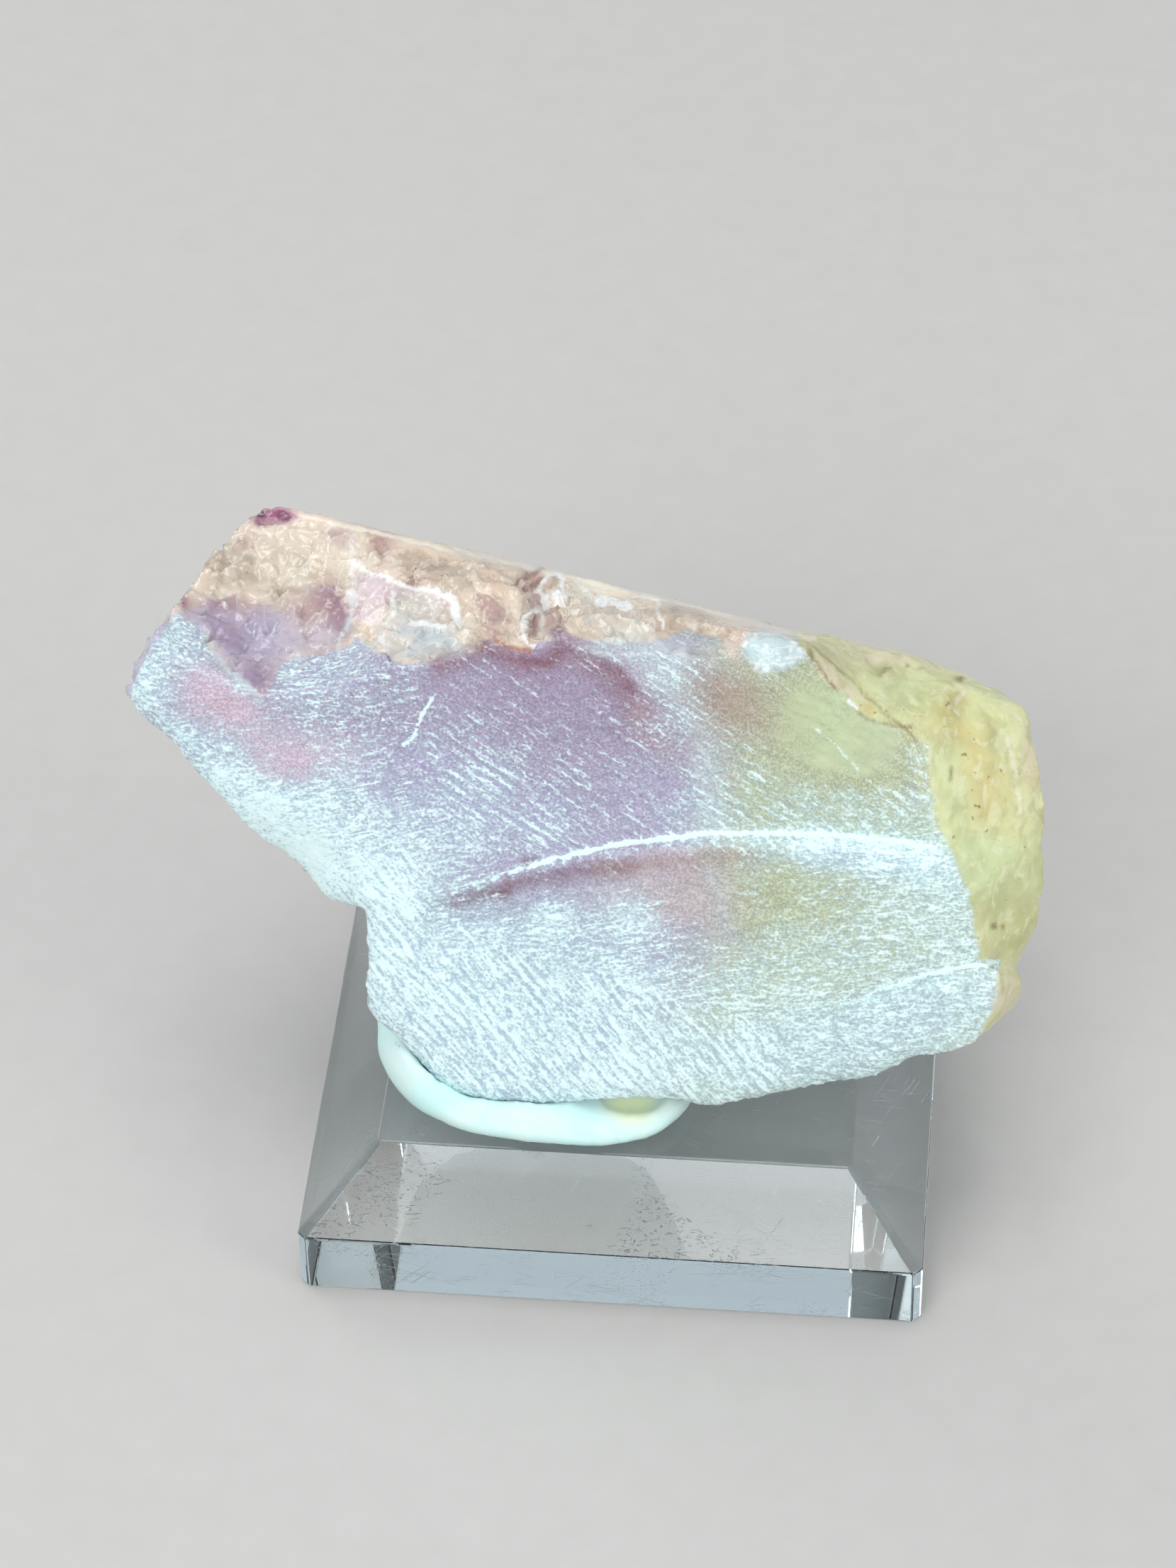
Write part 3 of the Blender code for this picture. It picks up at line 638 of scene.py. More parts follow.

# Colour of the stone, with painted shade under the ledge and under the shell chip's edge, laid on in this
# order
STONE_PAINT: tuple[Paint, ...] = (
    Region(Tint.LILAC, ((-40, -10), (40, -10), (40, 60), (-40, 60))),
    Region(Tint.OLIVE, ((6.4, 60), (6.2, 20), (7.2, 12), (4, 5), (2, -10), (50, -10), (50, 60)), 1, 3.4),
    Blot(Tint.BLUE_GREY, (-8, 6.5), (9, 7), 0.75),
    Blot(Tint.BLUE_GREY, (-18, 18.5), (7.5, 3.4), 0.55, -35),
    Blot(Tint.LAVENDER, (-8, 20.5), (9, 5), 1, -12, 0.5),
    Blot(Tint.PURPLE, (-3.6, 25.2), (7.2, 3.9), 1, -16, 0.85),
    Blot(Tint.PURPLE, (-14, 26), (6, 3.2), 0.85, 8, 0.5),
    Blot(Tint.LAVENDER, (-15.5, 27.6), (2, 1.2), 0.5, 0, 0.5),
    Thread(Tint.PLUM, ((-8.4, 28.9), (-5.7, 28.3), (-2.9, 28.2), (-0.6, 27.6), (1.2, 25.6),
                       (2.4, 23.8)), 1.7, 0.5, 1.4),
    Thread(Tint.WINE, ((-2.4, 30), (-1.4, 29.5), (-0.4, 28.8), (0.8, 28), (1.4, 27),
                       (1.9, 26.2)), 1.7, 0.75, 0.9),
    Thread(Tint.MAROON, ((-0.2, 28.9), (1.1, 28.1), (1.6, 27.2)), 0.3, 0.6, 0.3),
    Thread(Tint.DUSK, ((2, 25.8), (2.9, 24.6), (4, 23)), 1.8, 0.6, 0.9),
    Thread(Tint.WINE, ((-9.8, 28.2), (-8.6, 28.8), (-7.2, 29.5), (-6.4, 29), (-5.2, 28.7), (-3.6, 28.6),
                       (-2.6, 29.2)), 1, 0.95, 0.6),
    # Painted shade: a maroon thread just under the shell chip's right edge
    Thread(Tint.MAROON, ((-8.7, 29), (-7.8, 29.5), (-7.1, 29.9)), 0.35, 0.8, 0.3),
    Thread(Tint.MAROON, ((-4.8, 29), (-3.8, 28.6), (-2.8, 29)), 0.35, 0.5, 0.3),
    Blot(Tint.MAROON, (-7.4, 29.6), (0.5, 0.25), 0.6, 30, 0.7),
    Blot(Tint.LAVENDER, (3, 20.6), (2.8, 2.2), 0.6),
    Thread(Tint.CLOUD, ((3.4, 29.4), (5, 26.6), (6, 24.4), (6.1, 21), (6.6, 18.6)), 1.3, 0.7, 0.9),
    Blot(Tint.CLOUD, (3.6, 28.6), (2.2, 1.5), 0.75, -30, 0.5),
    Blot(Tint.GREY_BROWN, (7.4, 26.6), (3.2, 2.2), 0.8, -20, 0.9),
    Blot(Tint.BROWN, (6.4, 27.4), (1.8, 0.9), 0.3, -30, 0.9),
    Blot(Tint.CLOUD, (1.4, 13.8), (2.6, 1.7), 0.4, -10, 0.9),
    Blot(Tint.TAN, (4.2, 14.3), (3, 2.2), 0.38, -10, 0.95),
    Thread(Tint.CLOUD, ((6.4, 16.4), (7, 14), (7.6, 11.4)), 0.5, 0.65, 0.7),
    Blot(Tint.LEAF, (12.6, 25.6), (2.8, 2.2), 0.4, -20),
    # Painted shadow: a dark maroon and brown band just under the ledge
    Thread(Tint.MAROON, ((-10.7, 12.2), (-9.3, 12.7), (-7.8, 13.2), (-5.8, 13.9)), 0.7, 0.6, 0.6),
    Thread(Tint.MAROON, ((-7, 13.6), (-5.8, 14), (-3.7, 14.8), (-1.6, 15.3), (1.6, 15.9)), 0.8, 0.6, 0.7),
    Thread(Tint.BROWN, ((0, 15.6), (1.6, 15.9), (4, 16.4), (6.6, 16.8), (9, 16.9)), 0.8, 0.55, 0.8),
    Blot(Tint.MAROON, (-4.4, 15.9), (0.45, 0.22), 0.8, 20),
    Blot(Tint.BLUE_GREY, (15.4, 17.3), (4.6, 1), 0.85, -4, 0.7),
    Blot(Tint.BLUE_GREY, (13, 4.6), (8, 2.6), 0.6, 14, 0.7),
    Blot(Tint.BLUE_GREY, (19.5, 8.2), (3.6, 2), 0.6, 25, 0.7),
    Region(Tint.BLUE_GREY, ((-29.5, 25), (-25.4, 31), (-23.5, 29.4), (-22.2, 27.1), (-20.2, 25.2),
                            (-20.5, 22), (-27.5, 21.5)), 0.15, 0.5),
    Blot(Tint.ROSE, (-22.6, 25.3), (2.9, 1.9), 0.95, -30, 0.8),
    Blot(Tint.ROSE, (-18.4, 21.8), (3.4, 1.6), 0.85, 8, 0.9),
    Blot(Tint.BROWN, (-22.6, 25), (0.9, 0.7), 0.15, -30, 0.8),
    Region(Tint.PEACH, PEACH_OUTLINE, 1, 0.16),
    Region(Tint.MAUVE, HOLLOW_OUTLINE, 1, 0.9),
    Region(Tint.PURPLE, ((-25.4, 30.4), (-22.8, 31.2), (-19.8, 31), (-19.2, 29.2), (-19, 27), (-20, 25),
                         (-21.2, 26), (-23.4, 28.6)), 0.85, 0.8),
    Blot(Tint.DUSK, (-22.6, 31.4), (2.2, 0.5), 0.9, -6, 0.8),
    Blot(Tint.WINE, (-22.9, 31.2), (0.9, 0.25), 0.6, -10, 0.8),
    Blot(Tint.LILAC, (-19.6, 29.4), (1.5, 0.9), 0.5, -12, 0.8),
    Blot(Tint.PLUM, (-20.4, 26.7), (0.9, 0.8), 0.7, 0, 0.8),
    Blot(Tint.PLUM, (-22.4, 29.6), (1.2, 0.7), 0.5, -40, 0.8),
    Blot(Tint.ROSY_BROWN, (-17.3, 31.5), (1.4, 1.1), 0.8, 10, 0.8),
    Blot(Tint.WINE, (-15.9, 31.5), (0.8, 1.5), 0.8, 8, 0.8),
    Blot(Tint.DUSK, (-16.9, 33), (1, 0.6), 0.7, 30, 0.8),
    Blot(Tint.GREY_BROWN, (-19.2, 32.4), (1.4, 0.4), 0.8, 4, 0.7),
    Thread(Tint.CREAM, ((-23.4, 33.1), (-21.9, 32.7), (-20.9, 32.2), (-19.8, 31.9),
                        (-18.2, 32)), 0.4, 0.85, 0.25),
    Blot(Tint.CREAM, (-18.7, 31.4), (0.9, 0.35), 0.5, 20, 0.8),
    Blot(Tint.CREAM, (-18.8, 34.4), (3.4, 1.7), 0.9, 5, 0.5),
    Blot(Tint.PALE_CREAM, (-18.8, 33.4), (1.3, 0.5), 0.5, -20, 0.5),
    Blot(Tint.CREAM, (-22.6, 32.6), (1.9, 0.8), 0.7, 30, 0.4),
    Blot(Tint.GREY_BROWN, (-22, 34.4), (1.3, 1), 0.8, 30, 0.7),
    Blot(Tint.GREY_BROWN, (-21, 33.2), (0.8, 0.4), 0.7, 20, 0.7),
    Blot(Tint.ROSY_BROWN, (-20.9, 35.9), (0.8, 0.5), 0.7, 50, 0.7),
    Thread(Tint.UMBER, ((-21.4, 35.9), (-20.9, 35.2), (-20.9, 34.4)), 0.14, 0.6, 0.14),
    Thread(Tint.PALE_CREAM, ((-21, 33), (-19.2, 32.5), (-17.8, 33.4), (-16.9, 34.6)), 0.3, 0.8, 0.2),
    Blot(Tint.BROWN, (-24.8, 31.3), (0.8, 0.5), 0.6, 40),
    Blot(Tint.MAGENTA, (-24.9, 31.4), (0.5, 0.3), 0.8, 50),
    Blot(Tint.CREAM, (-17, 35.4), (1.2, 1.2), 0.7),
    Blot(Tint.DUSK, (-15.7, 36.1), (0.9, 0.7), 0.6),
    Blot(Tint.ROSY_BROWN, (-13.1, 35.7), (0.7, 1.2), 0.95, -5),
    Thread(Tint.UMBER, ((-13.9, 36.6), (-13.5, 35.8), (-13.2, 34.8)), 0.16, 0.6, 0.14),
    Blot(Tint.TAN, (-10.2, 34.8), (2.6, 1), 0.7, -5, 0.5),
    Blot(Tint.GREY_BROWN, (-9.5, 33.8), (1.8, 0.7), 0.7, -12, 0.5),
    Blot(Tint.ROSY_BROWN, (-11.1, 33.5), (0.7, 0.35), 0.9, 15),
    Thread(Tint.UMBER, ((-11.8, 33.4), (-11.2, 33.8), (-10.5, 33.6)), 0.14, 0.6),
    Blot(Tint.TAN, (-6.6, 33.4), (1.3, 1), 0.8, -30),
    Blot(Tint.CREAM, (-7.8, 35), (1.2, 0.6), 0.7, -20),
    Region(Tint.ROSE, ((-14.9, 34), (-12.5, 33.2), (-9, 32.5), (-8.8, 30.6), (-11, 30.4), (-12.6, 29.8),
                       (-14.8, 30.6)), 0.75, 0.3),
    Region(Tint.SHELL, ((-13.3, 31), (-13.6, 29.5), (-12.9, 28.6), (-11.7, 28.2), (-10.2, 28.4), (-9, 29),
                        (-8.3, 29.6), (-7.8, 30.6), (-8.8, 31.2), (-9.6, 32.3), (-12.2, 32.6)), 1, 0.25),
    Blot(Tint.CLOUD, (-10.7, 29.7), (2.3, 1.1), 0.85, -5, 0.5),
    Blot(Tint.PEACH, (-12.9, 30.6), (0.6, 1), 0.5, 10),
    Blot(Tint.CREAM, (-8, 30.4), (0.8, 1), 0.8, 0, 0.5),
    Region(Tint.ROSY_BROWN, ((-7.7, 32.5), (-6.6, 32.6), (-5.8, 32), (-5.5, 31.1), (-5.6, 30.1),
                             (-6.4, 29.7), (-7, 30.5), (-7.4, 31.4)), 0.9, 0.25),
    Blot(Tint.TAN, (-5.9, 30.6), (0.5, 0.7), 0.7, -10),
    Thread(Tint.RUST, ((-6.5, 29.9), (-6, 29.6), (-4.9, 29.5), (-4.3, 29.7)), 0.3, 0.95, 0.2),
    Blot(Tint.ROSY_BROWN, (-4.5, 33.8), (1.1, 0.6), 0.9, -25),
    Blot(Tint.TAN, (-6.2, 33.8), (0.7, 0.7), 0.8),
    Blot(Tint.WINE, (-4.2, 32.3), (0.6, 0.5), 0.7),
    Blot(Tint.WINE, (-3.2, 31.5), (0.5, 0.8), 0.75),
    Blot(Tint.PLUM, (-2.9, 30.6), (0.6, 0.4), 0.9),
    Blot(Tint.PALE_CREAM, (-1.2, 33), (1.7, 1.3), 0.8, 0, 0.5),
    Blot(Tint.CREAM, (-1.4, 31.2), (1, 0.7), 0.7, 0, 0.5),
    Blot(Tint.SHELL, (0.9, 31.2), (1.9, 0.95), 0.95, -5, 0.35),
    Blot(Tint.CREAM, (0.6, 31.5), (1, 0.4), 0.6),
    Blot(Tint.GREY_BROWN, (4.6, 32), (1.6, 1.2), 0.6, -15),
    Blot(Tint.BROWN, (4.2, 32.8), (0.9, 0.35), 0.35, -15, 0.7),
    Blot(Tint.CLOUD, (0.8, 29.9), (2.2, 0.7), 0.7, 0, 0.5),
    Blot(Tint.PEACH, (7.2, 30.8), (0.6, 1.3), 0.9, 30, 0.5),
    Blot(Tint.CREAM, (8.6, 32), (1.6, 0.6), 0.7, -15, 0.5),
    Blot(Tint.GREY_BROWN, (-21, 34.4), (3.4, 2.4), 0.26, 25, 0.8),
    Blot(Tint.GREY_BROWN, (-21.9, 33.1), (1.4, 0.7), 0.75, 20, 0.8),
    Region(Tint.YELLOW_GREEN, SKIN_OUTLINE, 1, 0.2),
    Blot(Tint.GREY_BROWN, (13.2, 30), (1.9, 0.9), 0.35, -30, 0.7),
    Blot(Tint.CREAM, (13.5, 28.4), (1.2, 0.35), 0.6, -45),
    Blot(Tint.LEAF, (18.6, 27.6), (2.6, 1), 0.6, -15),
    Blot(Tint.CREAM, (15.8, 30), (1.6, 0.5), 0.6, -12),
    Blot(Tint.ORANGE, (20.4, 27.5), (0.8, 0.5), 0.5, 40, 0.8),
    Thread(Tint.ORANGE, ((19.6, 27), (21.4, 24.6), (22.2, 22.6), (22.6, 20)), 1.8, 0.68, 1.7),
    Thread(Tint.LEAF, ((19.9, 24.4), (20.3, 21.6), (21.6, 18.6), (23, 15)), 1.2, 0.55, 1.2),
    Blot(Tint.MOSS, (22.9, 24.9), (0.6, 0.9), 0.7, 35, 0.8),
    Blot(Tint.PEACH, (24.9, 23.8), (0.5, 1.7), 0.6, 12, 0.8),
    Blot(Tint.MOSS, (25.7, 20.8), (0.5, 1.4), 0.6, 5, 0.8),
    Blot(Tint.LEAF, (22.9, 28.2), (0.9, 0.6), 0.6, -30, 0.7),
    Blot(Tint.LEAF, (22.8, 17), (2.6, 2.2), 0.6),
    Blot(Tint.MOSS, (24.2, 13.6), (2.6, 3), 0.45, 0, 0.8),
    Blot(Tint.PEACH, (24.3, 8.6), (1, 1.8), 0.5, 15, 0.7),
    Blot(Tint.ORANGE, (15.3, 26.6), (0.55, 0.25), 0.55, -30),
    Thread(Tint.PEACH, ((12.5, 29.3), (13.3, 28.2), (14.2, 27.3)), 0.3, 0.7, 0.2),
    Blot(Tint.PIT, (16.3, 29.1), (0.3, 0.16), 0.9, 10, 0.7),
    Blot(Tint.MOSS, (16, 29.2), (0.8, 0.4), 0.6, 10, 0.8),
    Blot(Tint.PIT, (17.6, 29.5), (0.16, 0.1), 0.7, 0, 0.5),
    Blot(Tint.PIT, (18.3, 29.4), (0.14, 0.1), 0.7, 0, 0.5),
    Blot(Tint.PIT, (20.4, 28.7), (0.25, 0.2), 0.9, 0, 0.7),
    Blot(Tint.PIT, (20.2, 27.3), (0.2, 0.14), 0.7, 40, 0.7),
    Blot(Tint.FLAKE, (21, 28.2), (0.3, 0.5), 0.6, -40, 0.7),
    Blot(Tint.PIT, (20.3, 22.9), (0.12, 0.25), 0.7),
    Blot(Tint.PIT, (23.2, 13.3), (0.25, 0.16), 0.8),
    Blot(Tint.PIT, (23.8, 13.2), (0.12, 0.12), 0.7),
    Blot(Tint.MAGENTA, (-19.6, 37.2), (1.4, 0.75), 1, 5, 0.4),
    Blot(Tint.DEEP_MAROON, (-18.9, 37.4), (0.6, 0.3), 0.6, -10),
    Blot(Tint.CREAM, (-20.6, 36.5), (0.7, 0.35), 0.8, 40, 0.5),
)

# Lines on the broken top and round the cracks, drawn finer than the zones, with painted glints and painted
# highlights among them
FINE_PAINT: tuple[Paint, ...] = (
    Region(Tint.CHIP_BLUE, ((7.8, 30.1), (8.1, 31), (9.3, 31.6), (10.9, 31), (11.7, 29.9), (10.6, 29),
                            (9, 28.6)), 0.9, 0.22),
    Region(Tint.ICE, ((8, 30.2), (8.6, 31), (9.6, 31), (10, 30), (9.4, 28.9), (8.8, 28.9)), 0.25, 0.3),
    Thread(Tint.VEIN, ((8, 30.6), (8.9, 31.2), (10.1, 31.2), (10.9, 30.7)), 0.14, 0.8),
    Thread(Tint.VEIN, ((8.6, 28.9), (9.2, 29.6), (9.3, 30.4)), 0.12, 0.7),
    Thread(Tint.VEIN, ((9.4, 29.1), (10.3, 29.6), (11.3, 29.8)), 0.12, 0.6),
    # Painted highlights: pale lines along the top rim
    Thread(Tint.PALE_CREAM, ((-16.2, 37), (-6.7, 35.15), (3.4, 33.05), (12.1, 30.95)), 0.24, 0.85, 0.14),
    Thread(Tint.CREAM, ((13.4, 30.95), (20.9, 29.15), (23, 27.9), (24.6, 25.8)), 0.2, 0.6, 0.16),
    # Painted highlight: a pale rim along the shell chip's lower edge
    Thread(Tint.CREAM, ((-13.6, 29.5), (-12.9, 28.7), (-11.7, 28.3), (-10.2, 28.5), (-9, 29.1),
                        (-8.3, 29.7)), 0.14, 0.7, 0.1),
    Blot(Tint.MAGENTA, (-19.4, 37.35), (1.2, 0.4), 0.85, -4, 0.5),
    Blot(Tint.MAGENTA, (-20.3, 36.9), (0.3, 0.6), 0.7, -30, 0.5),
    Blot(Tint.DEEP_MAROON, (-18.8, 37.2), (0.5, 0.25), 0.5, -30),
    Blot(Tint.VEIN, (-22.4, 31.3), (0.14, 0.2), 0.8, 10),
    Blot(Tint.CREAM, (-23.3, 32), (0.3, 0.12), 0.8, 20),
    Blot(Tint.CREAM, (-21.3, 31.4), (0.2, 0.12), 0.8, -30),
    Blot(Tint.VEIN, (-25, 31.3), (0.14, 0.1), 0.8, 30),
    Blot(Tint.CREAM, (-16.9, 31), (0.22, 0.1), 0.8, 10),
    Blot(Tint.CREAM, (-17.9, 30.2), (0.3, 0.08), 0.6, 15),
    Thread(Tint.VEIN, ((-14.8, 36.1), (-14.9, 35.1), (-15, 34.2), (-14.9, 33), (-14.8, 32),
                       (-15, 30.8)), 0.24, 0.5, 0.14),
    Blot(Tint.PALE_CREAM, (-14.9, 34.7), (0.5, 0.8), 0.4),
    Blot(Tint.VEIN, (-15, 32.2), (0.3, 0.6), 0.5),
    Thread(Tint.CREAM, ((-15, 30.8), (-14.5, 30.2), (-14.1, 29.6)), 0.14, 0.9, 0.1),
    Thread(Tint.VEIN, ((-14.7, 34.3), (-13.6, 33.7), (-12.5, 33.4), (-11.2, 32.9), (-10.1, 32.8),
                       (-9.2, 32.6)), 0.26, 0.85, 0.14),
    Thread(Tint.VEIN, ((-9.8, 32.8), (-9, 32.4), (-8.9, 31.7), (-8.7, 30.9)), 0.46, 0.95),
    Thread(Tint.VEIN, ((-12.5, 33.2), (-12.4, 31.5), (-12.9, 30.4)), 0.14, 0.75),
    # Painted glint across the shell chip
    Thread(Tint.VEIN, ((-11.4, 30.9), (-9.6, 30.55)), 0.42, 1, 0.1),
    Thread(Tint.CREAM, ((-7.7, 32.8), (-7.6, 31.5), (-7.3, 30.7)), 0.2, 0.9, 0.1),
    Thread(Tint.CREAM, ((-8.2, 34.7), (-7.6, 33.3), (-6.6, 32.6), (-5.8, 32), (-5.5, 31.1),
                        (-5.7, 30.1)), 0.24, 0.9, 0.1),
    Thread(Tint.UMBER, ((-5.3, 33.7), (-4.6, 34.2), (-3.8, 34.7)), 0.26, 0.85),
    Thread(Tint.UMBER, ((-5, 33), (-4.4, 33.5), (-3.9, 34)), 0.2, 0.8),
    Blot(Tint.MAROON, (-4.3, 31), (0.35, 0.55), 0.5, -15, 0.5),
    Blot(Tint.MAROON, (-4, 32.2), (0.3, 0.22), 0.5, 20, 0.5),
    Thread(Tint.UMBER, ((-2.9, 32.2), (-2.8, 31.4), (-2.7, 30.8)), 0.2, 0.8),
    Thread(Tint.VEIN, ((-4, 33.2), (-3.7, 34), (-3.4, 34.35), (-2.8, 34.3), (-2.6, 33.4),
                       (-2.6, 32.4)), 0.24, 0.95, 0.1),
    Blot(Tint.GREY_BROWN, (-3.05, 33.9), (0.22, 0.36), 0.9, 0, 0.4),
    # Painted glints: two small bright spots under the white outline
    Blot(Tint.VEIN, (-3.6, 32.7), (0.2, 0.45), 1, -12, 0.4),
    Blot(Tint.VEIN, (-3, 32.9), (0.24, 0.5), 0.9, 8, 0.4),
    Blot(Tint.VEIN, (-4, 31.9), (0.35, 0.25), 0.7, 20),
    Thread(Tint.VEIN, ((-4.4, 31.9), (-4.8, 31.4), (-4.9, 30.5), (-4.6, 29.9),
                       (-4.2, 29.6)), 0.22, 0.95, 0.1),
    Thread(Tint.VEIN, ((-4.4, 31.8), (-3.8, 31.5), (-3.7, 30.7)), 0.2, 0.7),
    Thread(Tint.VEIN, ((-1.9, 33.9), (-1.1, 33.4), (-0.6, 32.2), (-1.2, 31.4)), 0.18, 0.6, 0.14),
    # Painted glint: a bright bar on a glassy facet
    Thread(Tint.VEIN, ((-0.4, 33), (1.2, 32.4)), 0.5, 1, 0.1),
    Thread(Tint.VEIN, ((1.3, 33.1), (2.9, 33.1), (3, 32), (3.4, 31.3)), 0.16, 0.75, 0.1),
    Thread(Tint.CREAM, ((-0.9, 30.6), (-0.7, 31.6), (0.4, 32.1), (2.2, 32)), 0.14, 0.8),
    Thread(Tint.CLOUD, ((-13.5, 29.7), (-14.2, 28.2), (-14.8, 27.2)), 0.16, 0.8, 0.1),
    Thread(Tint.CLOUD, ((-15.1, 30.8), (-15.7, 29.4), (-15.9, 26.9), (-15.2, 26)), 0.16, 0.8, 0.1),
    Thread(Tint.CLOUD, ((-23.7, 29.4), (-23.2, 28.1), (-22.1, 27), (-21, 26.2),
                        (-20.3, 25.2)), 0.34, 0.85, 0.2),
    Thread(Tint.ORANGE, ((-23.6, 29.3), (-23.2, 28.2)), 0.14, 0.6, 0.14),
    Thread(Tint.PIT, ((11.1, 30.8), (12, 29.9), (12.8, 28.6), (13.4, 27.9)), 0.14, 0.75, 0.1),
    Thread(Tint.PIT, ((14.3, 26.9), (15.4, 26.1), (16.7, 25.8), (17.9, 25.7)), 0.12, 0.6, 0.1),
    Thread(Tint.PIT, ((11.7, 30.6), (12.9, 29.6), (14.4, 28.3), (15.6, 27), (17.7, 25.5),
                      (18.3, 24.6)), 0.14, 0.55, 0.1),
    Thread(Tint.FLAKE, ((15.8, 27.4), (17.4, 26.6), (18.6, 26.5)), 0.14, 0.7, 0.1),
    # Painted glint on the edge between the sawn face and the skin
    Thread(Tint.VEIN, ((14.2, 27.1), (14.6, 26.8)), 0.24, 0.9),
    Thread(Tint.PALE_CREAM, ((20, 27), (20.8, 28)), 0.2, 0.6, 0.2),
    Thread(Tint.PALE_CREAM, ((23.4, 25.4), (24.1, 23), (24.4, 20.5)), 0.2, 0.75, 0.14),
    Thread(Tint.PALE_CREAM, ((24.9, 25.3), (26.2, 22.6), (26.9, 19.4)), 0.18, 0.6, 0.14),
    Thread(Tint.PIT, ((22.3, 26.3), (22.9, 25.2), (23.2, 24.4)), 0.14, 0.35, 0.2),
)


@dataclass(frozen=True)
class Lamp:
    """A soft square lamp: its name, place and side in metres, power in watts and colour."""

    name: str
    place: tuple[float, float, float]
    size: float
    power: float
    colour: tuple[float, float, float]

    def hang(self, target: Vector) -> None:
        """Hang the lamp so that it looks at a target in metres."""
        light = bpy.data.lights.new(self.name, "AREA")
        light.size = self.size
        light.energy = self.power
        light.color = self.colour
        thing = bpy.data.objects.new(self.name, light)
        bpy.context.scene.collection.objects.link(thing)
        thing.location = self.place
        thing.rotation_euler = (target - Vector(self.place)).to_track_quat("-Z", "Y").to_euler()


@dataclass(frozen=True)
class Studio:
    """The floor, the lights and the camera.

    The target and its distance are in millimetres, the angles in degrees, and the floor in metres. The
    focal length is a share of the picture's height.
    """

    floor_side: float = 4.0
    floor_gap: float = 0.00004
    floor_tones: tuple[Colour, Colour] = ((0.56, 0.55, 0.53, 1.0), (0.6, 0.59, 0.57, 1.0))
    floor_roughness: float = 0.42
    target: tuple[float, float, float] = (-2.592, 0.0, 25.647)
    azimuth: float = 6.338
    elevation: float = 43.925
    roll: float = -1.449
    distance: float = 298.98
    focal_share: float = 7000.0 / 2212.0
    sensor: float = 36.0
    clip_start: float = 0.001
    surroundings: Colour = (0.9, 0.93, 0.97, 1.0)
    surroundings_strength: float = 0.6
    lamps: tuple[Lamp, ...] = (
        Lamp("key_lamp", (-0.3, -0.56, 0.52), 0.3, 1.5, (0.95, 0.98, 1.0)),
        Lamp("bevel_lamp", (-0.056, -0.567, 0.58), 0.17, 0.5, (1.0, 0.98, 0.93)),
        Lamp("top_lamp", (-0.05, 0.0, 0.7), 0.3, 1.2, (0.98, 0.99, 1.0)),
        Lamp("back_lamp", (-0.62, 0.5, 0.4), 0.4, 1.3, (1.0, 0.97, 0.92)),
        Lamp("low_lamp", (-0.05, -0.75, 0.16), 0.3, 0.4, (1.0, 1.0, 1.0)),
        Lamp("side_lamp", (0.62, -0.3, 0.3), 0.3, 1.1, (1.0, 0.98, 0.95)),
    )

    def lay_floor(self) -> bpy.types.Object:
        """Lay the plain pale floor."""
        mesh = bmesh.new()
        bmesh.ops.create_grid(mesh, x_segments=2, y_segments=2, size=self.floor_side / 2.0)
        bmesh.ops.translate(mesh, vec=(0.0, 0.0, -self.floor_gap), verts=mesh.verts)
        floor = make_piece("studio_floor", mesh)
        bench = MaterialBench("pale_floor")
        tone = bench.grain(bench.place(), 2.5, 3.0)
        values = {"Base Color": bench.mix(tone, *self.floor_tones), "Roughness": self.floor_roughness}
        floor.data.materials.append(bench.finish(values))
        return floor

    def light(self) -> None:
        """Hang the lamps and set the pale surroundings."""
        for lamp in self.lamps:
            lamp.hang(Vector(self.target) * MM)
        world = bpy.data.worlds.new("surroundings")
        bpy.context.scene.world = world
        world.use_nodes = True
        bench = Bench(world.node_tree)
        values = {"Color": self.surroundings, "Strength": self.surroundings_strength}
        glow = bench.node("ShaderNodeBackground", {}, values)
        bench.node("ShaderNodeOutputWorld", {}, {"Surface": glow})
        bpy.context.scene.view_settings.view_transform = "Standard"

    def stand_camera(self) -> bpy.types.Object:
        """Stand the camera where the photograph was taken."""
        azimuth = math.radians(self.azimuth)
        elevation = math.radians(self.elevation)
        roll = math.radians(self.roll)
        level = Vector((math.cos(azimuth), math.sin(azimuth), 0.0))
        flat = Vector((-math.sin(azimuth), math.cos(azimuth), 0.0))
        ahead = flat * math.cos(elevation) - Vector((0.0, 0.0, math.sin(elevation)))
        above = level.cross(ahead)
        right = level * math.cos(roll) + above * math.sin(roll)
        up = above * math.cos(roll) - level * math.sin(roll)
        lens = bpy.data.cameras.new("camera")
        lens.sensor_fit = "VERTICAL"
        lens.sensor_height = self.sensor
        lens.lens = self.focal_share * self.sensor
        lens.clip_start = self.clip_start
        camera = bpy.data.objects.new("camera", lens)
        bpy.context.scene.collection.objects.link(camera)
        stand = Matrix((right, up, -ahead)).transposed().to_4x4()
        stand.translation = (Vector(self.target) - ahead * self.distance) * MM
        camera.matrix_world = stand
        bpy.context.scene.camera = camera
        return camera


def make_piece(name: str, mesh: bmesh.types.BMesh) -> bpy.types.Object:
    """Turn a finished bmesh, in metres, into an object.

    Args:
        name: The piece's name.
        mesh: The bmesh, which is freed.

    Returns:
        The object.
    """
    data = bpy.data.meshes.new(name)
    mesh.to_mesh(data)
    mesh.free()
    thing = bpy.data.objects.new(name, data)
    bpy.context.scene.collection.objects.link(thing)
    return thing


def read_rows(points: Any, name: str) -> np.ndarray:
    """Read one vector of each point of a mesh as a row."""
    values = np.empty(len(points) * 3)
    points.foreach_get(name, values)
    return values.reshape(-1, 3)


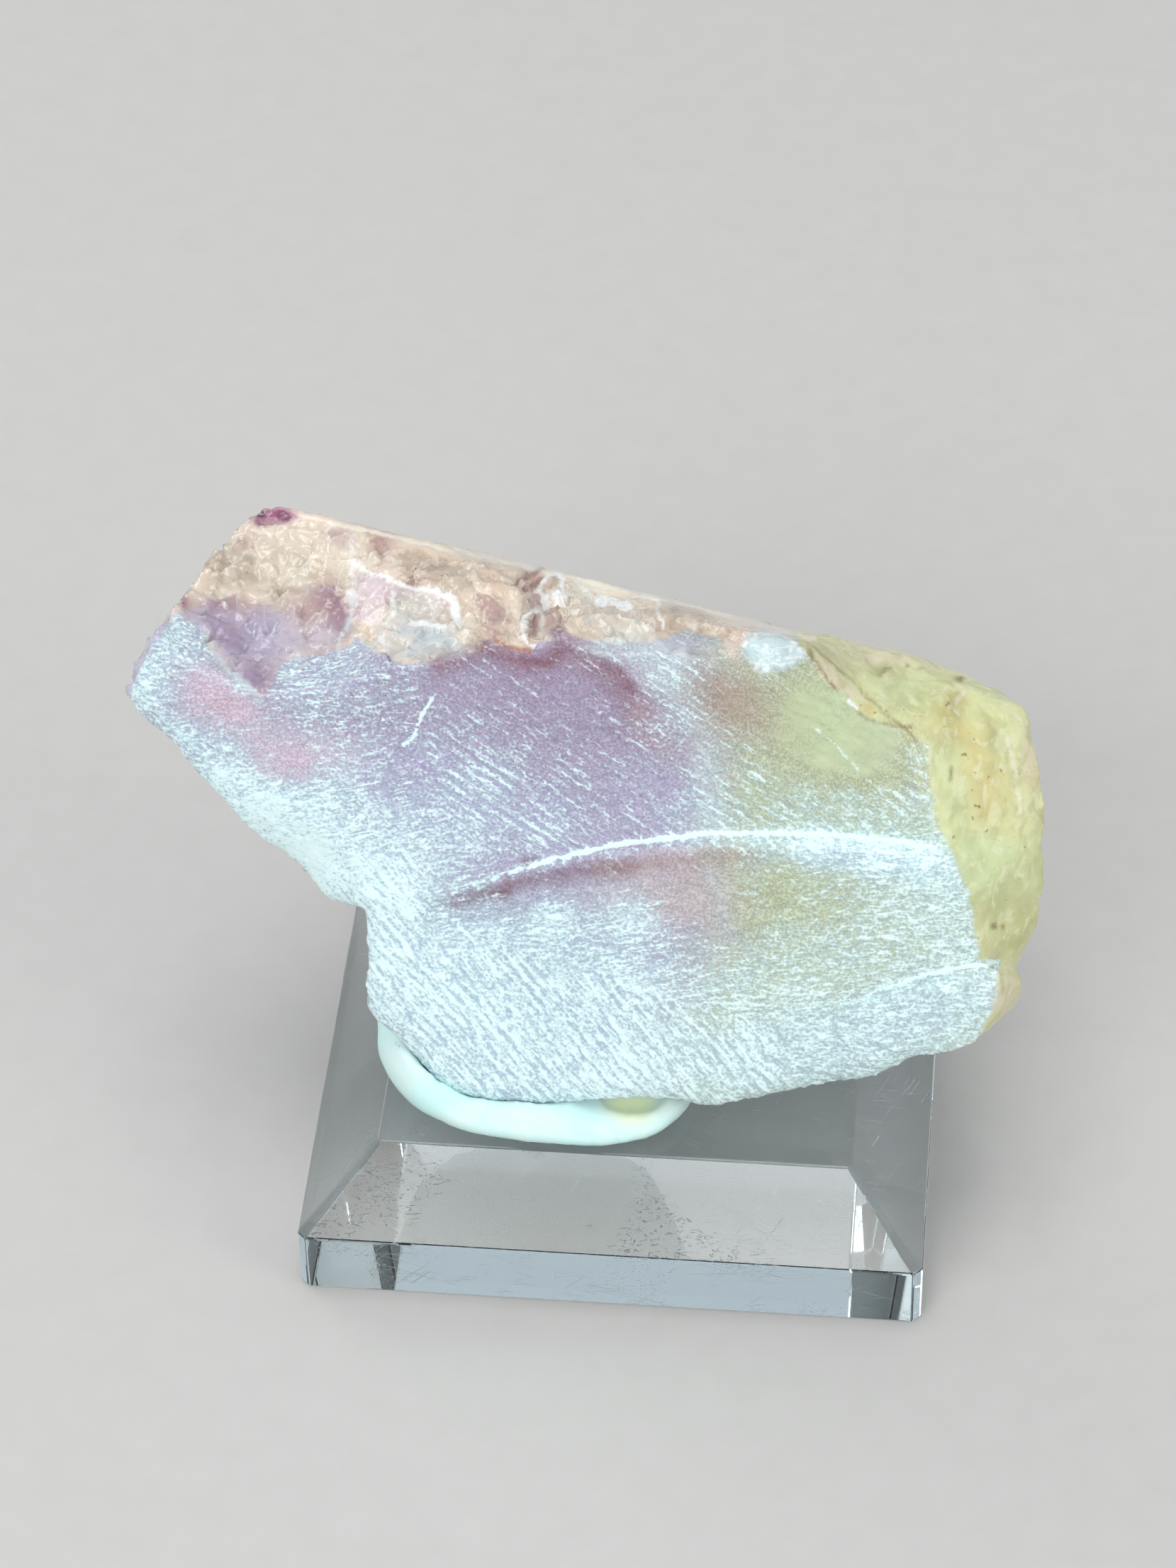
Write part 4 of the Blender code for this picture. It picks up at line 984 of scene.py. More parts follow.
def write_points(thing: bpy.types.Object, name: str, values: np.ndarray) -> None:
    """Store values on a piece's points.

    Args:
        thing: The piece.
        name: The attribute's name.
        values: One number or one row for each point.
    """
    kinds = {1: ("FLOAT", "value"), 3: ("FLOAT_VECTOR", "vector"), 4: ("FLOAT_COLOR", "color")}
    kind, field_name = kinds[1 if values.ndim == 1 else values.shape[1]]
    layer = thing.data.attributes.new(name, kind, "POINT")
    layer.data.foreach_set(field_name, values.astype(np.float32).ravel())


def solid_copy(node: str) -> bmesh.types.BMesh:
    """Copy a CAD node's mesh in metres, with its loose triangles joined.

    Args:
        node: The node's name.

    Returns:
        The joined copy.
    """
    mesh = bmesh.new()
    mesh.from_mesh(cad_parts[node].data)
    bmesh.ops.remove_doubles(mesh, verts=mesh.verts, dist=JOINING_GAP)
    bmesh.ops.dissolve_degenerate(mesh, edges=mesh.edges, dist=SHORTEST_EDGE)
    bmesh.ops.triangulate(mesh, faces=mesh.faces)
    mesh.normal_update()
    return mesh


def refine(mesh: bmesh.types.BMesh, limit_of: Any) -> None:
    """Split long edges until none is longer than its limit.

    Args:
        mesh: A bmesh of triangles, in metres.
        limit_of: A function that gives a face's limit in metres.
    """
    for _ in range(CUTTING_ROUNDS):
        limits = {face: limit_of(face) for face in mesh.faces}
        lengths = [
            (edge, edge.calc_length() / min(limits[face] for face in edge.link_faces)) for edge in mesh.edges
        ]
        thirds = [edge for edge, share in lengths if share > CUT_IN_THREE]
        halves = [edge for edge, share in lengths if share > CUT_IN_TWO]
        if not halves:
            return
        cuts = 2 if thirds else 1
        bmesh.ops.subdivide_edges(mesh, edges=thirds or halves, cuts=cuts, use_grid_fill=False)
        bmesh.ops.triangulate(mesh, faces=mesh.faces)


def apply_tree(thing: bpy.types.Object, tree: bpy.types.NodeTree, inputs: dict) -> None:
    """Run a geometry tree on a piece and keep the result as its plain mesh.

    Args:
        thing: The piece.
        tree: The geometry tree.
        inputs: Its inputs by name.
    """
    modifier = thing.modifiers.new("shape", "NODES")
    modifier.node_group = tree
    for item in tree.interface.items_tree:
        if item.item_type == "SOCKET" and item.in_out == "INPUT" and item.name in inputs:
            modifier[item.identifier] = inputs[item.name]
    graph = bpy.context.evaluated_depsgraph_get()
    shown = thing.evaluated_get(graph)
    shaped = bpy.data.meshes.new_from_object(shown, preserve_all_data_layers=True, depsgraph=graph)
    thing.modifiers.clear()
    thing.data = shaped
    shaped.name = thing.name


class GeometryBench(Bench):
    """A geometry tree under construction."""

    def __init__(self, name: str, sizes: dict[str, float]) -> None:
        """Start a tree with named inputs: the geometry, the sizes and the material.

        Args:
            name: The tree's name.
            sizes: The first value of each size, whole numbers among them.
        """
        tree = bpy.data.node_groups.new(name, "GeometryNodeTree")
        super().__init__(tree)
        tree.interface.new_socket("Geometry", in_out="INPUT", socket_type="NodeSocketGeometry")
        for key, value in sizes.items():
            kind = "NodeSocketInt" if isinstance(value, int) else "NodeSocketFloat"
            tree.interface.new_socket(key, in_out="INPUT", socket_type=kind).default_value = value
        tree.interface.new_socket("Material", in_out="INPUT", socket_type="NodeSocketMaterial")
        tree.interface.new_socket("Geometry", in_out="OUTPUT", socket_type="NodeSocketGeometry")
        self.start = self.node("NodeGroupInput")

    def input(self, name: str) -> Signal:
        """Read one of the tree's inputs."""
        return self.more(self.start, name)

    def named(self, name: str, kind: str = "FLOAT") -> Signal:
        """Read one of the piece's own attributes."""
        return self.node("GeometryNodeInputNamedAttribute", {"data_type": kind}, {"Name": name})

    def keep(self, geometry: Signal, name: str, value: Signal) -> Signal:
        """Store a value on the points under a name."""
        values = {"Geometry": geometry, "Name": name, "Value": value}
        settings = {"data_type": "FLOAT", "domain": "POINT"}
        return self.node("GeometryNodeStoreNamedAttribute", settings, values)

    def soften(self, weight: Any) -> Signal:
        """Round off the tree's geometry by moving each point to the middle of its neighbours.

        Args:
            weight: How much of each move a point makes.

        Returns:
            The rounded shape.
        """
        spot = self.node("GeometryNodeInputPosition")
        values = {"Value": spot, "Iterations": self.input("Rounding"), "Weight": weight}
        middle = self.node("GeometryNodeBlurAttribute", {"data_type": "FLOAT_VECTOR"}, values)
        values = {"Geometry": self.input("Geometry"), "Position": middle}
        return self.node("GeometryNodeSetPosition", {}, values)

    def raise_by(self, geometry: Signal, height: Signal) -> Signal:
        """Move the surface outwards by a height in metres."""
        outward = self.node("GeometryNodeInputNormal")
        values = {"Vector": outward, "Scale": height}
        shift = self.node("ShaderNodeVectorMath", {"operation": "SCALE"}, values)
        return self.node("GeometryNodeSetPosition", {}, {"Geometry": geometry, "Offset": shift})

    def close(self, geometry: Signal) -> bpy.types.NodeTree:
        """End the tree with real geometry and its material.

        Args:
            geometry: The finished shape.

        Returns:
            The tree.
        """
        real = self.node("GeometryNodeRealizeInstances", {}, {"Geometry": geometry})
        values = {"Geometry": real, "Material": self.input("Material")}
        dressed = self.node("GeometryNodeSetMaterial", {}, values)
        self.node("NodeGroupOutput", {}, {"Geometry": dressed})
        return self.tree


@dataclass(frozen=True)
class FluoriteFinish:
    """The stone's surface: zoned colour, saw frost, glassy breaks and dull skin.

    The levels say how strongly each kind of mark turns the saw cut white; the ridges' white is partly
    frost and partly painted highlight on their tops. Sizes are in millimetres, and a long stroke's are
    shares of a short one's.
    """

    ridge_frost_and_highlight_level: float = 0.25
    stroke_level: float = 0.6
    speck_level: float = 0.75
    furrow_level: float = 0.22
    long_stroke_length: float = 2.6
    long_stroke_width: float = 1.4
    frost_level: float = 0.58
    white_rise: Span = (-0.0565, 0.2935)
    haze_level: float = 0.92
    white_level: float = 0.96
    speck_size: float = 0.2
    cloud_size: float = 1.6
    grit_size: float = 0.16
    fine_size: float = 0.45
    facet_scale: float = 1.9
    shard_turn: float = math.radians(14.0)
    shard_shape: tuple[float, float, float] = (1.0, 0.6, 0.8)
    shard_scale: float = 0.62
    roughness: float = 0.3
    bump_rise: float = 0.08
    coat: float = 0.6
    coat_roughness: float = 0.08
    ior: float = 1.434
    scatter: float = 0.25
    scatter_reach: tuple[float, float, float] = (1.0, 0.9, 1.0)
    scatter_depth: float = 1.2 * MM

    def material(self) -> bpy.types.Material:
        """Build the material."""
        bench = MaterialBench("fluorite_crystal")
        place = bench.place(SLAB_ZERO, SLAB_TILT)
        frost, sawn, broken, skin = (bench.attribute(name) for name in ("frost", "sawn", "broken", "skin"))
        specks = bench.grain(place, self.speck_size, 2.0)
        clouds = bench.grain(place, self.cloud_size, 3.0, 0.4)
        grit = bench.grain(place, self.grit_size, 2.0).ramp(0.62, 0.4)
        fine = bench.grain(place, self.fine_size, 4.0)
        marks = self.saw_marks_and_ridge_highlights(bench, place) + (specks - 0.5) * self.speck_level
        cut = (marks + (frost - 0.5) * self.frost_level).ramp(*self.white_rise)
        cut = cut * frost.ramp(-0.08, 0.55) * sawn
        # Saw scores whiten the cut, and so does the painted highlight along the ledge crests
        scores_and_ledge_highlights = (bench.attribute("score") + (specks - 0.5) * 0.8).ramp(0.25, 0.8) * sawn
        white = cut + scores_and_ledge_highlights * (1.0 - cut)
        haze = (frost + (clouds - 0.5) * 0.4 + (specks - 0.5) * 0.7).ramp(0.26, 1.0) * sawn
        rubbed = frost.ramp(0.02, 0.26) * (0.55 - frost.ramp(0.35, 0.85) * 0.35) * sawn
        stone = self.stone_colour(bench, place, skin, clouds)
        hazy = bench.mix(haze * self.haze_level, stone, rgba(Tint.FROST_SHADE))
        gritty = bench.mix(grit * rubbed, hazy, rgba(Tint.GRIT), "MULTIPLY")
        height = (
            white * 0.5
            + specks * sawn * 0.3
            + fine * (broken + skin) * 0.8
            + bench.facets(place, self.facet_scale) * broken * 3.0
        )
        return bench.finish({
            "Base Color": bench.mix(white * self.white_level, gritty, rgba(Tint.ICE)),
            "Roughness": self.roughness + white * 0.3 + skin * 0.12 + (fine - 0.5) * 0.25 - broken * 0.1,
            "Normal": bench.bump(height, self.bump_rise, 0.8),
            "Coat Weight": broken * self.coat,
            "Coat Roughness": self.coat_roughness,
            "IOR": self.ior,
            "Subsurface Weight": self.scatter,
            "Subsurface Radius": self.scatter_reach,
            "Subsurface Scale": self.scatter_depth,
        })

    def saw_marks_and_ridge_highlights(self, bench: MaterialBench, place: Signal) -> Signal:
        """Draw the saw's strokes and its rows of furrows, with painted highlights on the strokes' ridge tops.

        Args:
            bench: The material's bench.
            place: The place on the slab.

        Returns:
            The marks with their painted ridge highlights, around zero.
        """
        drift = bench.shift(place, size=2.4, detail=1.0, reach=0.3)
        shake = bench.shift(place, size=0.55, detail=1.0, reach=0.2)
        bent = bench.vector("ADD", place, bench.vector("ADD", drift, shake))
        strokes = 0.0
        for way in Stroke:
            direction, length, width = way.value
            short = bench.strokes(bent, direction, length, width)
            long = bench.strokes(
                bent, direction, length * self.long_stroke_length, width * self.long_stroke_width
            )
            both = short + long.ramp(0.54, 0.72) * 0.3 - 0.03
            strokes = bench.attribute(way.attribute) * both + strokes
        rows = sum(
            bench.attribute(way.attribute) * (bench.furrows(bent, way.value[0], SAW_PITCH) - 0.5)
            for way in (Stroke.FALLING, Stroke.STEEP)
        )
        # Whiter on the strokes' ridge tops and darker between them: partly frost, partly painted highlight
        # and shade
        return (
            (bench.attribute("ridge") - 0.5) * self.ridge_frost_and_highlight_level
            + (strokes - 0.5) * self.stroke_level
            + rows * bench.grain(place, 3.2, 2.0).ramp(0.4, 0.6) * self.furrow_level
        )

    def stone_colour(self, bench: MaterialBench, place: Signal, skin: Signal, clouds: Signal) -> Signal:
        """Work the painted zones into stone.

        Args:
            bench: The material's bench.
            place: The place on the slab.
            skin: How much of it is natural skin.
            clouds: Soft noise.

        Returns:
            The colour of the stone without frost, with its painted glints, rim highlights and shade.
        """
        lines = bench.attribute("line_colour", "Color")
        crystal = bench.attribute("crystal")
        drawn = bench.vector("MULTIPLY", bench.turn(place, self.shard_turn), self.shard_shape)
        bent = bench.vector("ADD", drawn, bench.shift(drawn, size=0.7, detail=2.0, reach=0.25))
        cells = {"Vector": bent, "Scale": self.shard_scale}
        shard = bench.node("ShaderNodeTexVoronoi", {"feature": "F1"}, cells, "Color")
        gap = bench.node("ShaderNodeTexVoronoi", {"feature": "DISTANCE_TO_EDGE"}, cells)
        tones = bench.node("ShaderNodeSeparateColor", {}, {"Color": shard}, "Red")
        dark = tones.ramp(0.3, 1.0) * crystal * 0.3
        warm = bench.more(tones, "Blue").ramp(0.55, 0.95) * crystal * 0.45
        pale = bench.more(tones, "Green").ramp(0.45, 0.95) * crystal * 0.3
        seams = gap.ramp(0.05, 0.015) * bench.grain(place, 0.8, 2.0).ramp(0.45, 0.58) * crystal * 0.55
        smoke = (clouds - 0.35) * (0.35 + skin * 0.3)
        moss = bench.grain(bent, 1.1, 5.0, 0.5).ramp(0.47, 0.68) * skin * 0.45
        flakes = bench.grain(bent, 0.8, 4.0, 0.8).ramp(0.52, 0.66) * skin * 0.5
        pits = bench.grain(place, 0.5, 2.0).ramp(0.68, 0.74) * bench.grain(place, 3.0, 1.0).ramp(0.5, 0.6)
        layers = (
            (dark, rgba(Tint.GREY_BROWN), "MULTIPLY"),
            (warm, rgba(Tint.TAN), "MIX"),
            (pale, rgba(Tint.PALE_CREAM), "MIX"),
            (seams, rgba(Tint.PALE_CREAM), "MIX"),
            (smoke, rgba(Tint.GREY_BROWN), "MULTIPLY"),
            (bench.more(lines, "Alpha"), lines, "MIX"),
            (moss, rgba(Tint.MOSS), "MIX"),
            (flakes, rgba(Tint.FLAKE), "MIX"),
            (pits * skin * 0.7, rgba(Tint.PIT), "MIX"),
        )
        colour = bench.attribute("zone_colour", "Color")
        for share, tint, blend in layers:
            colour = bench.mix(share, colour, tint, blend)
        return colour


@dataclass
class Fluorite:
    """The stone: a dense copy of its solid, painted, frosted and broken in detail.

    Lengths without MM are in millimetres on the slab's axes. A span holds where a share begins and
    where it is whole, or for the painted highlight on the ledge lines a first value and how much it grows
    towards the right. A ridge's length and width are shares of a stroke's.
    """

    name: str = "fluorite_slab"
    node: str = "fluorite"
    shown_edge: float = 0.175 * MM
    hidden_edge: float = 0.42 * MM
    towards_viewer: tuple[float, float, float] = (0.08, 0.407, 0.91)
    viewer_side: float = 0.1
    crease_angle: float = math.radians(30.0)
    crease_hold: float = 0.12
    front_facing: Span = (-0.05, 0.15)
    back_facing: Span = (-0.5, -0.8)
    shallow_depth: Span = (-1.6, -0.6)
    ledge_reach: Span = (0.42, 0.2)
    # Extra frost on the ledge walls, partly a painted highlight
    ledge_frost_and_highlight: float = 0.15
    sawn_rise: Span = (-0.15, 0.15)
    skin_rise: Span = (-0.2, 0.2)
    crystal_rise: Span = (-0.1, 0.1)
    hollow_rise: Span = (-1.0, 0.8)
    hollow_calm: float = 0.75
    inland_rise: Span = (0.15, 1.0)
    rim_crystal: float = 0.3
    score_reach: Span = (0.17, 0.05)
    ledge_highlight_width: Span = (0.14, 0.1)
    ledge_highlight_level: Span = (0.6, 0.6)
    rounding: int = 8
    ridge_length: float = 1.3
    ridge_width: float = 1.7
    stroke_depth: float = 0.36 * MM
    score_depth: float = 0.06 * MM
    break_scale: float = 0.62
    break_depth: float = 0.5 * MM
    ripple_depth: float = 0.1 * MM
    skin_depth: float = 0.44 * MM
    stair_rise: float = 0.09
    seed: float = 7.0

    def __post_init__(self) -> None:
        """Start with no points surveyed."""
        self.slab = np.zeros((0, 3))
        self.facing = np.zeros((0, 3))
        self.zone = np.zeros((0, 2))

    @staticmethod
    def axes() -> np.ndarray:
        """Give the slab's u, v and w axes as rows."""
        sine, cosine = math.sin(SLAB_LEAN), math.cos(SLAB_LEAN)
        return np.array(((1.0, 0.0, 0.0), (0.0, sine, cosine), (0.0, -cosine, sine)))

    def dense_copy(self) -> bpy.types.Object:
        """Copy the solid finely enough to carry its detail."""
        viewer = Vector(self.axes().T @ np.array(self.towards_viewer))
        mesh = solid_copy(self.node)

        def limit(face: bmesh.types.BMFace) -> float:
            """Give the longest edge wanted on a face."""
            return self.shown_edge if face.normal.dot(viewer) > self.viewer_side else self.hidden_edge

        refine(mesh, limit)
        mesh.verts.ensure_lookup_table()
        mesh.verts.index_update()
        hold = np.ones(len(mesh.verts))
        for edge in mesh.edges:
            share = min((self.shown_edge / max(edge.calc_length(), self.shown_edge)) ** 2, 1.0)
            if edge.calc_face_angle(0.0) > self.crease_angle:
                share = self.crease_hold
            for corner in edge.verts:
                hold[corner.index] = min(hold[corner.index], share)
        stone = make_piece(self.name, mesh)
        write_points(stone, "soften", hold)
        return stone

    def survey(self, stone: bpy.types.Object) -> None:
        """Read where each point lies on the slab and which way it faces."""
        axes = self.axes()
        self.slab = (read_rows(stone.data.vertices, "co") / MM - np.array(SLAB_ZERO)) @ axes.T
        self.facing = read_rows(stone.data.vertex_normals, "vector") @ axes.T
        u, v, w = self.slab.T
        self.zone = np.column_stack((u - w * (ZONE_DRIFT - ZONE_SPREAD * u), v - ZONE_DIP * w))

    def paint(self, stone: bpy.types.Object) -> None:
        """Lay the zones of colour on the stone, with the painted glints, rim highlights and shade among them.
        """
        wide = wander(self.zone, size=1.7, reach=0.3, seed=1.0)
        narrow = wander(self.zone, size=0.6, reach=0.16, seed=4.0)
        loose = self.zone + wide + narrow
        tight = self.zone + wander(self.zone, size=0.7, reach=0.1, seed=8.0)
        for name, places, layers in (("zone_colour", loose, STONE_PAINT), ("line_colour", tight, FINE_PAINT)):
            colour = np.zeros((len(places), 4))
            for layer in layers:
                share = layer.cover(places)[:, None]
                colour = colour * (1.0 - share) + np.append(layer.tint.linear, 1.0) * share
            colour[:, :3] /= np.maximum(colour[:, 3:], 0.001)
            write_points(stone, name, colour)

    def mark(self, stone: bpy.types.Object) -> None:
        """Store where the stone is sawn, broken or still has its skin, how frosted it is, and where saw
        scores and the painted ledge highlight lie.
        """
        edge = self.zone + wander(self.zone, size=1.1, reach=0.25, seed=12.0)
        shallow = smooth(*self.shallow_depth, self.slab[:, 2])
        ledge, step = (
            smooth(*self.ledge_reach, line_distance(self.slab[:, :2], line)) * shallow
            for line in (LEDGE_LINE, STEP_LINE)
        )
        front = np.maximum(smooth(*self.front_facing, self.facing[:, 2]), np.maximum(ledge, step))
        cut = smooth(*self.sawn_rise, depth_inside(edge, SAWN_OUTLINE)) * front
        sawn = np.maximum(cut, smooth(*self.back_facing, self.facing[:, 2]))
        skin = smooth(*self.skin_rise, depth_inside(edge, SKIN_OUTLINE)) * (1.0 - cut)
        inland = smooth(*self.inland_rise, line_distance(self.zone, TOP_LINE))
        crystal = smooth(*self.crystal_rise, depth_inside(edge, PEACH_OUTLINE)) * (1.0 - cut) * (1.0 - skin)
        crystal *= 1.0 - self.hollow_calm * smooth(*self.hollow_rise, depth_inside(edge, HOLLOW_OUTLINE))
        crystal *= self.rim_crystal + (1.0 - self.rim_crystal) * inland
        # The ledge walls get extra frost, partly their own saw frost and partly a painted highlight where
        # they face up
        frost = blend_places(self.zone, FROST_PLACES, FROST_SHARPNESS)[:, 0] + self.ledge_frost_and_highlight * ledge
        marks = {
            "inland": inland,
            "crystal": crystal,
            "sawn": sawn,
            "skin": skin,
            "broken": (1.0 - sawn) * (1.0 - skin),
            "frost": frost,
            "score": self.scores_and_ledge_highlights() * sawn * front,
        }
        for name, share in (marks | self.ruled(edge)).items():
            write_points(stone, name, share)

    def scores_and_ledge_highlights(self) -> np.ndarray:
        """Say how clearly the saw scores each point, and how strongly the painted ledge highlight covers it.
        """
        places = self.zone + wander(self.zone, size=0.9, reach=0.1, seed=20.0)
        score = np.zeros(len(places))
        for level, line in SCORES:
            score = np.maximum(score, level * smooth(*self.score_reach, line_distance(places, line)))
        # Painted highlight along the ledge crests, wider and stronger towards the right
        for line in (LEDGE_LINE, STEP_LINE):
            left_end = line[0][0]
            lit = smooth(left_end - 2.0, left_end + 10.0, self.zone[:, 0])
            width = self.ledge_highlight_width[0] + self.ledge_highlight_width[1] * lit
            level = self.ledge_highlight_level[0] + self.ledge_highlight_level[1] * lit
            score = np.maximum(score, level * smooth(1.0, 0.4, line_distance(places, line) / width))
        return score

    @staticmethod
    def ruled(places: np.ndarray) -> dict[str, np.ndarray]:
        """Say how strongly each way of the strokes rules at each place.

        Args:
            places: One row of u and v for each place.

        Returns:
            The shares by the name of their attribute.
        """
        known = [
            (u, v, *(float(other is way) for other in Stroke))
            for way, spots in STROKE_PLACES.items()
            for u, v in spots
        ]
        shares = blend_places(places, known, STROKE_SHARPNESS) ** 2
        shares /= shares.sum(axis=1, keepdims=True)
        return {way.attribute: share for way, share in zip(Stroke, shares.T)}

    def shaping_tree(self) -> bpy.types.NodeTree:
        """Build the tree that rounds the solid's facets, then cuts saw strokes and breaks."""
        bench = GeometryBench("stone_surface", {
            "Rounding": self.rounding,
            "Stroke depth": self.stroke_depth,
            "Score depth": self.score_depth,
            "Break scale": self.break_scale,
            "Break depth": self.break_depth,
            "Ripple depth": self.ripple_depth,
            "Skin depth": self.skin_depth,
            "Seed": self.seed,
        })
        sawn, broken, skin = (bench.named(name) for name in ("sawn", "broken", "skin"))
        offset = bench.node("ShaderNodeCombineXYZ", {}, {"Z": bench.input("Seed")})
        seeded = bench.vector("ADD", bench.named("slab_place", "FLOAT_VECTOR"), offset)
        rounded = bench.soften(bench.named("soften"))
        ridge = 0.0
        for way in Stroke:
            direction, length, width = way.value
            strokes = bench.strokes(seeded, direction, length * self.ridge_length, width * self.ridge_width)
            ridge = bench.named(way.attribute) * strokes + ridge
        marked = bench.keep(rounded, "ridge", ridge)
        lumps = bench.grain(seeded, 2.6, 3.0, 0.6) / self.stair_rise
        tread = lumps.floor()
        stair = (tread + (lumps - tread).ramp(0.0, 0.35)) * self.stair_rise
        bent = bench.vector("ADD", seeded, bench.shift(seeded, size=1.3, detail=2.0, reach=0.6))
        scale = bench.input("Break scale")
        flakes = bench.facets(bent, scale) + bench.facets(seeded, scale * 2.6)
        chips = ((stair - 0.5) * 0.7 + flakes) * broken * bench.named("inland")
        ripples = (bench.grain(seeded, 0.9, 4.0) - 0.5) * broken
        crust = (bench.grain(seeded, 1.4, 4.0, 0.3) - 0.35) * skin
        height = (
            (ridge - 0.5) * sawn * bench.input("Stroke depth")
            + bench.named("score") * bench.input("Score depth")
            + chips * bench.input("Break depth")
            + ripples * bench.input("Ripple depth")
            + crust * bench.input("Skin depth")
        )
        return bench.close(bench.raise_by(marked, height))

    def build(self) -> bpy.types.Object:
        """Build the stone and put it in its solid's place."""
        stone = self.dense_copy()
        self.survey(stone)
        write_points(stone, "slab_place", self.slab)
        self.paint(stone)
        self.mark(stone)
        apply_tree(stone, self.shaping_tree(), {"Material": FluoriteFinish().material()})
        stone.data.shade_smooth()
        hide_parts(self.node)
        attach(stone, BODY)
        log.info("%s: %d triangles", stone.name, len(stone.data.polygons))
        return stone


@dataclass(frozen=True)
class PuttyFinish:
    """Smooth white putty, tinted where the stone's light falls in its hollow. Sizes are in millimetres."""

    shade: Colour = (0.8, 0.84, 0.82, 1.0)
    dark: Colour = (0.0, 0.0, 0.0, 1.0)
    glow: Colour = (0.14, 0.18, 0.11, 1.0)
    tone_size: float = 3.5
    dimple_size: float = 0.8
    dimple_rise: float = 0.03
    roughness: float = 0.42
    scatter: float = 0.3
    scatter_reach: tuple[float, float, float] = (1.0, 1.0, 0.95)
    scatter_depth: float = 1.0 * MM

    def material(self) -> bpy.types.Material:
        """Build the material."""
        bench = MaterialBench("white_putty")
        place = bench.place()
        hollow = bench.attribute("hollow")
        tone = bench.grain(place, self.tone_size, 3.0, 0.3).ramp(0.35, 0.7)
        dimples = bench.grain(place, self.dimple_size, 3.0)
        white = bench.mix(tone * 0.5, rgba(Tint.PUTTY), self.shade)
        return bench.finish({
            # Painted light: a yellow-green tint and a faint glow in the hollow stand for the stone's light
            # falling there
            "Base Color": bench.mix(hollow * 0.7, white, rgba(Tint.YELLOW_GREEN)),
            "Emission Color": bench.mix(hollow, self.dark, self.glow),
            "Emission Strength": 1.0,
            "Roughness": self.roughness + (dimples - 0.5) * 0.3,
            "Normal": bench.bump(dimples, self.dimple_rise, 0.6),
            "Subsurface Weight": self.scatter,
            "Subsurface Radius": self.scatter_reach,
            "Subsurface Scale": self.scatter_depth,
        })


@dataclass(frozen=True)
class Putty:
    """The lump of putty that holds the stone. The hollow's lengths are in millimetres."""

    name: str = "putty_lump"
    node: str = "putty"
    edge: float = 0.3 * MM
    rounding: int = 4
    swell: float = 0.24 * MM
    dent_depth: float = 0.18 * MM
    dent_size: float = 2.4
    hollow_centre: tuple[float, float, float] = (0.8, -11.6, 9.8)
    hollow_reach: Span = (2.3, 0.8)

    def shaping_tree(self) -> bpy.types.NodeTree:
        """Build the tree that smooths the putty and presses soft dents into it."""
        sizes = {"Rounding": self.rounding, "Swell": self.swell, "Dent depth": self.dent_depth}
        bench = GeometryBench("pressed_putty", sizes)
        rounded = bench.soften(1.0)
        spot = bench.node("GeometryNodeInputPosition")
        scaled = bench.vector("SCALE", spot)
        bench.plug(bench.pick(scaled.socket.node.inputs, "Scale"), 1.0 / MM)
        dents = (bench.grain(scaled, self.dent_size, 2.0) - 0.5) * bench.input("Dent depth")
        return bench.close(bench.raise_by(rounded, dents + bench.input("Swell")))

    def build(self) -> bpy.types.Object:
        """Build the putty and put it in its solid's place."""
        mesh = solid_copy(self.node)
        refine(mesh, lambda face: self.edge)
        putty = make_piece(self.name, mesh)
        places = read_rows(putty.data.vertices, "co") / MM
        # Share of the painted stone light in the putty's hollow
        gap = np.linalg.norm(places - np.array(self.hollow_centre), axis=1)
        write_points(putty, "hollow", smooth(*self.hollow_reach, gap))
        apply_tree(putty, self.shaping_tree(), {"Material": PuttyFinish().material()})
        putty.data.shade_smooth()
        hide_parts(self.node)
        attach(putty, BODY)
        log.info("%s: %d triangles", putty.name, len(putty.data.polygons))
        return putty


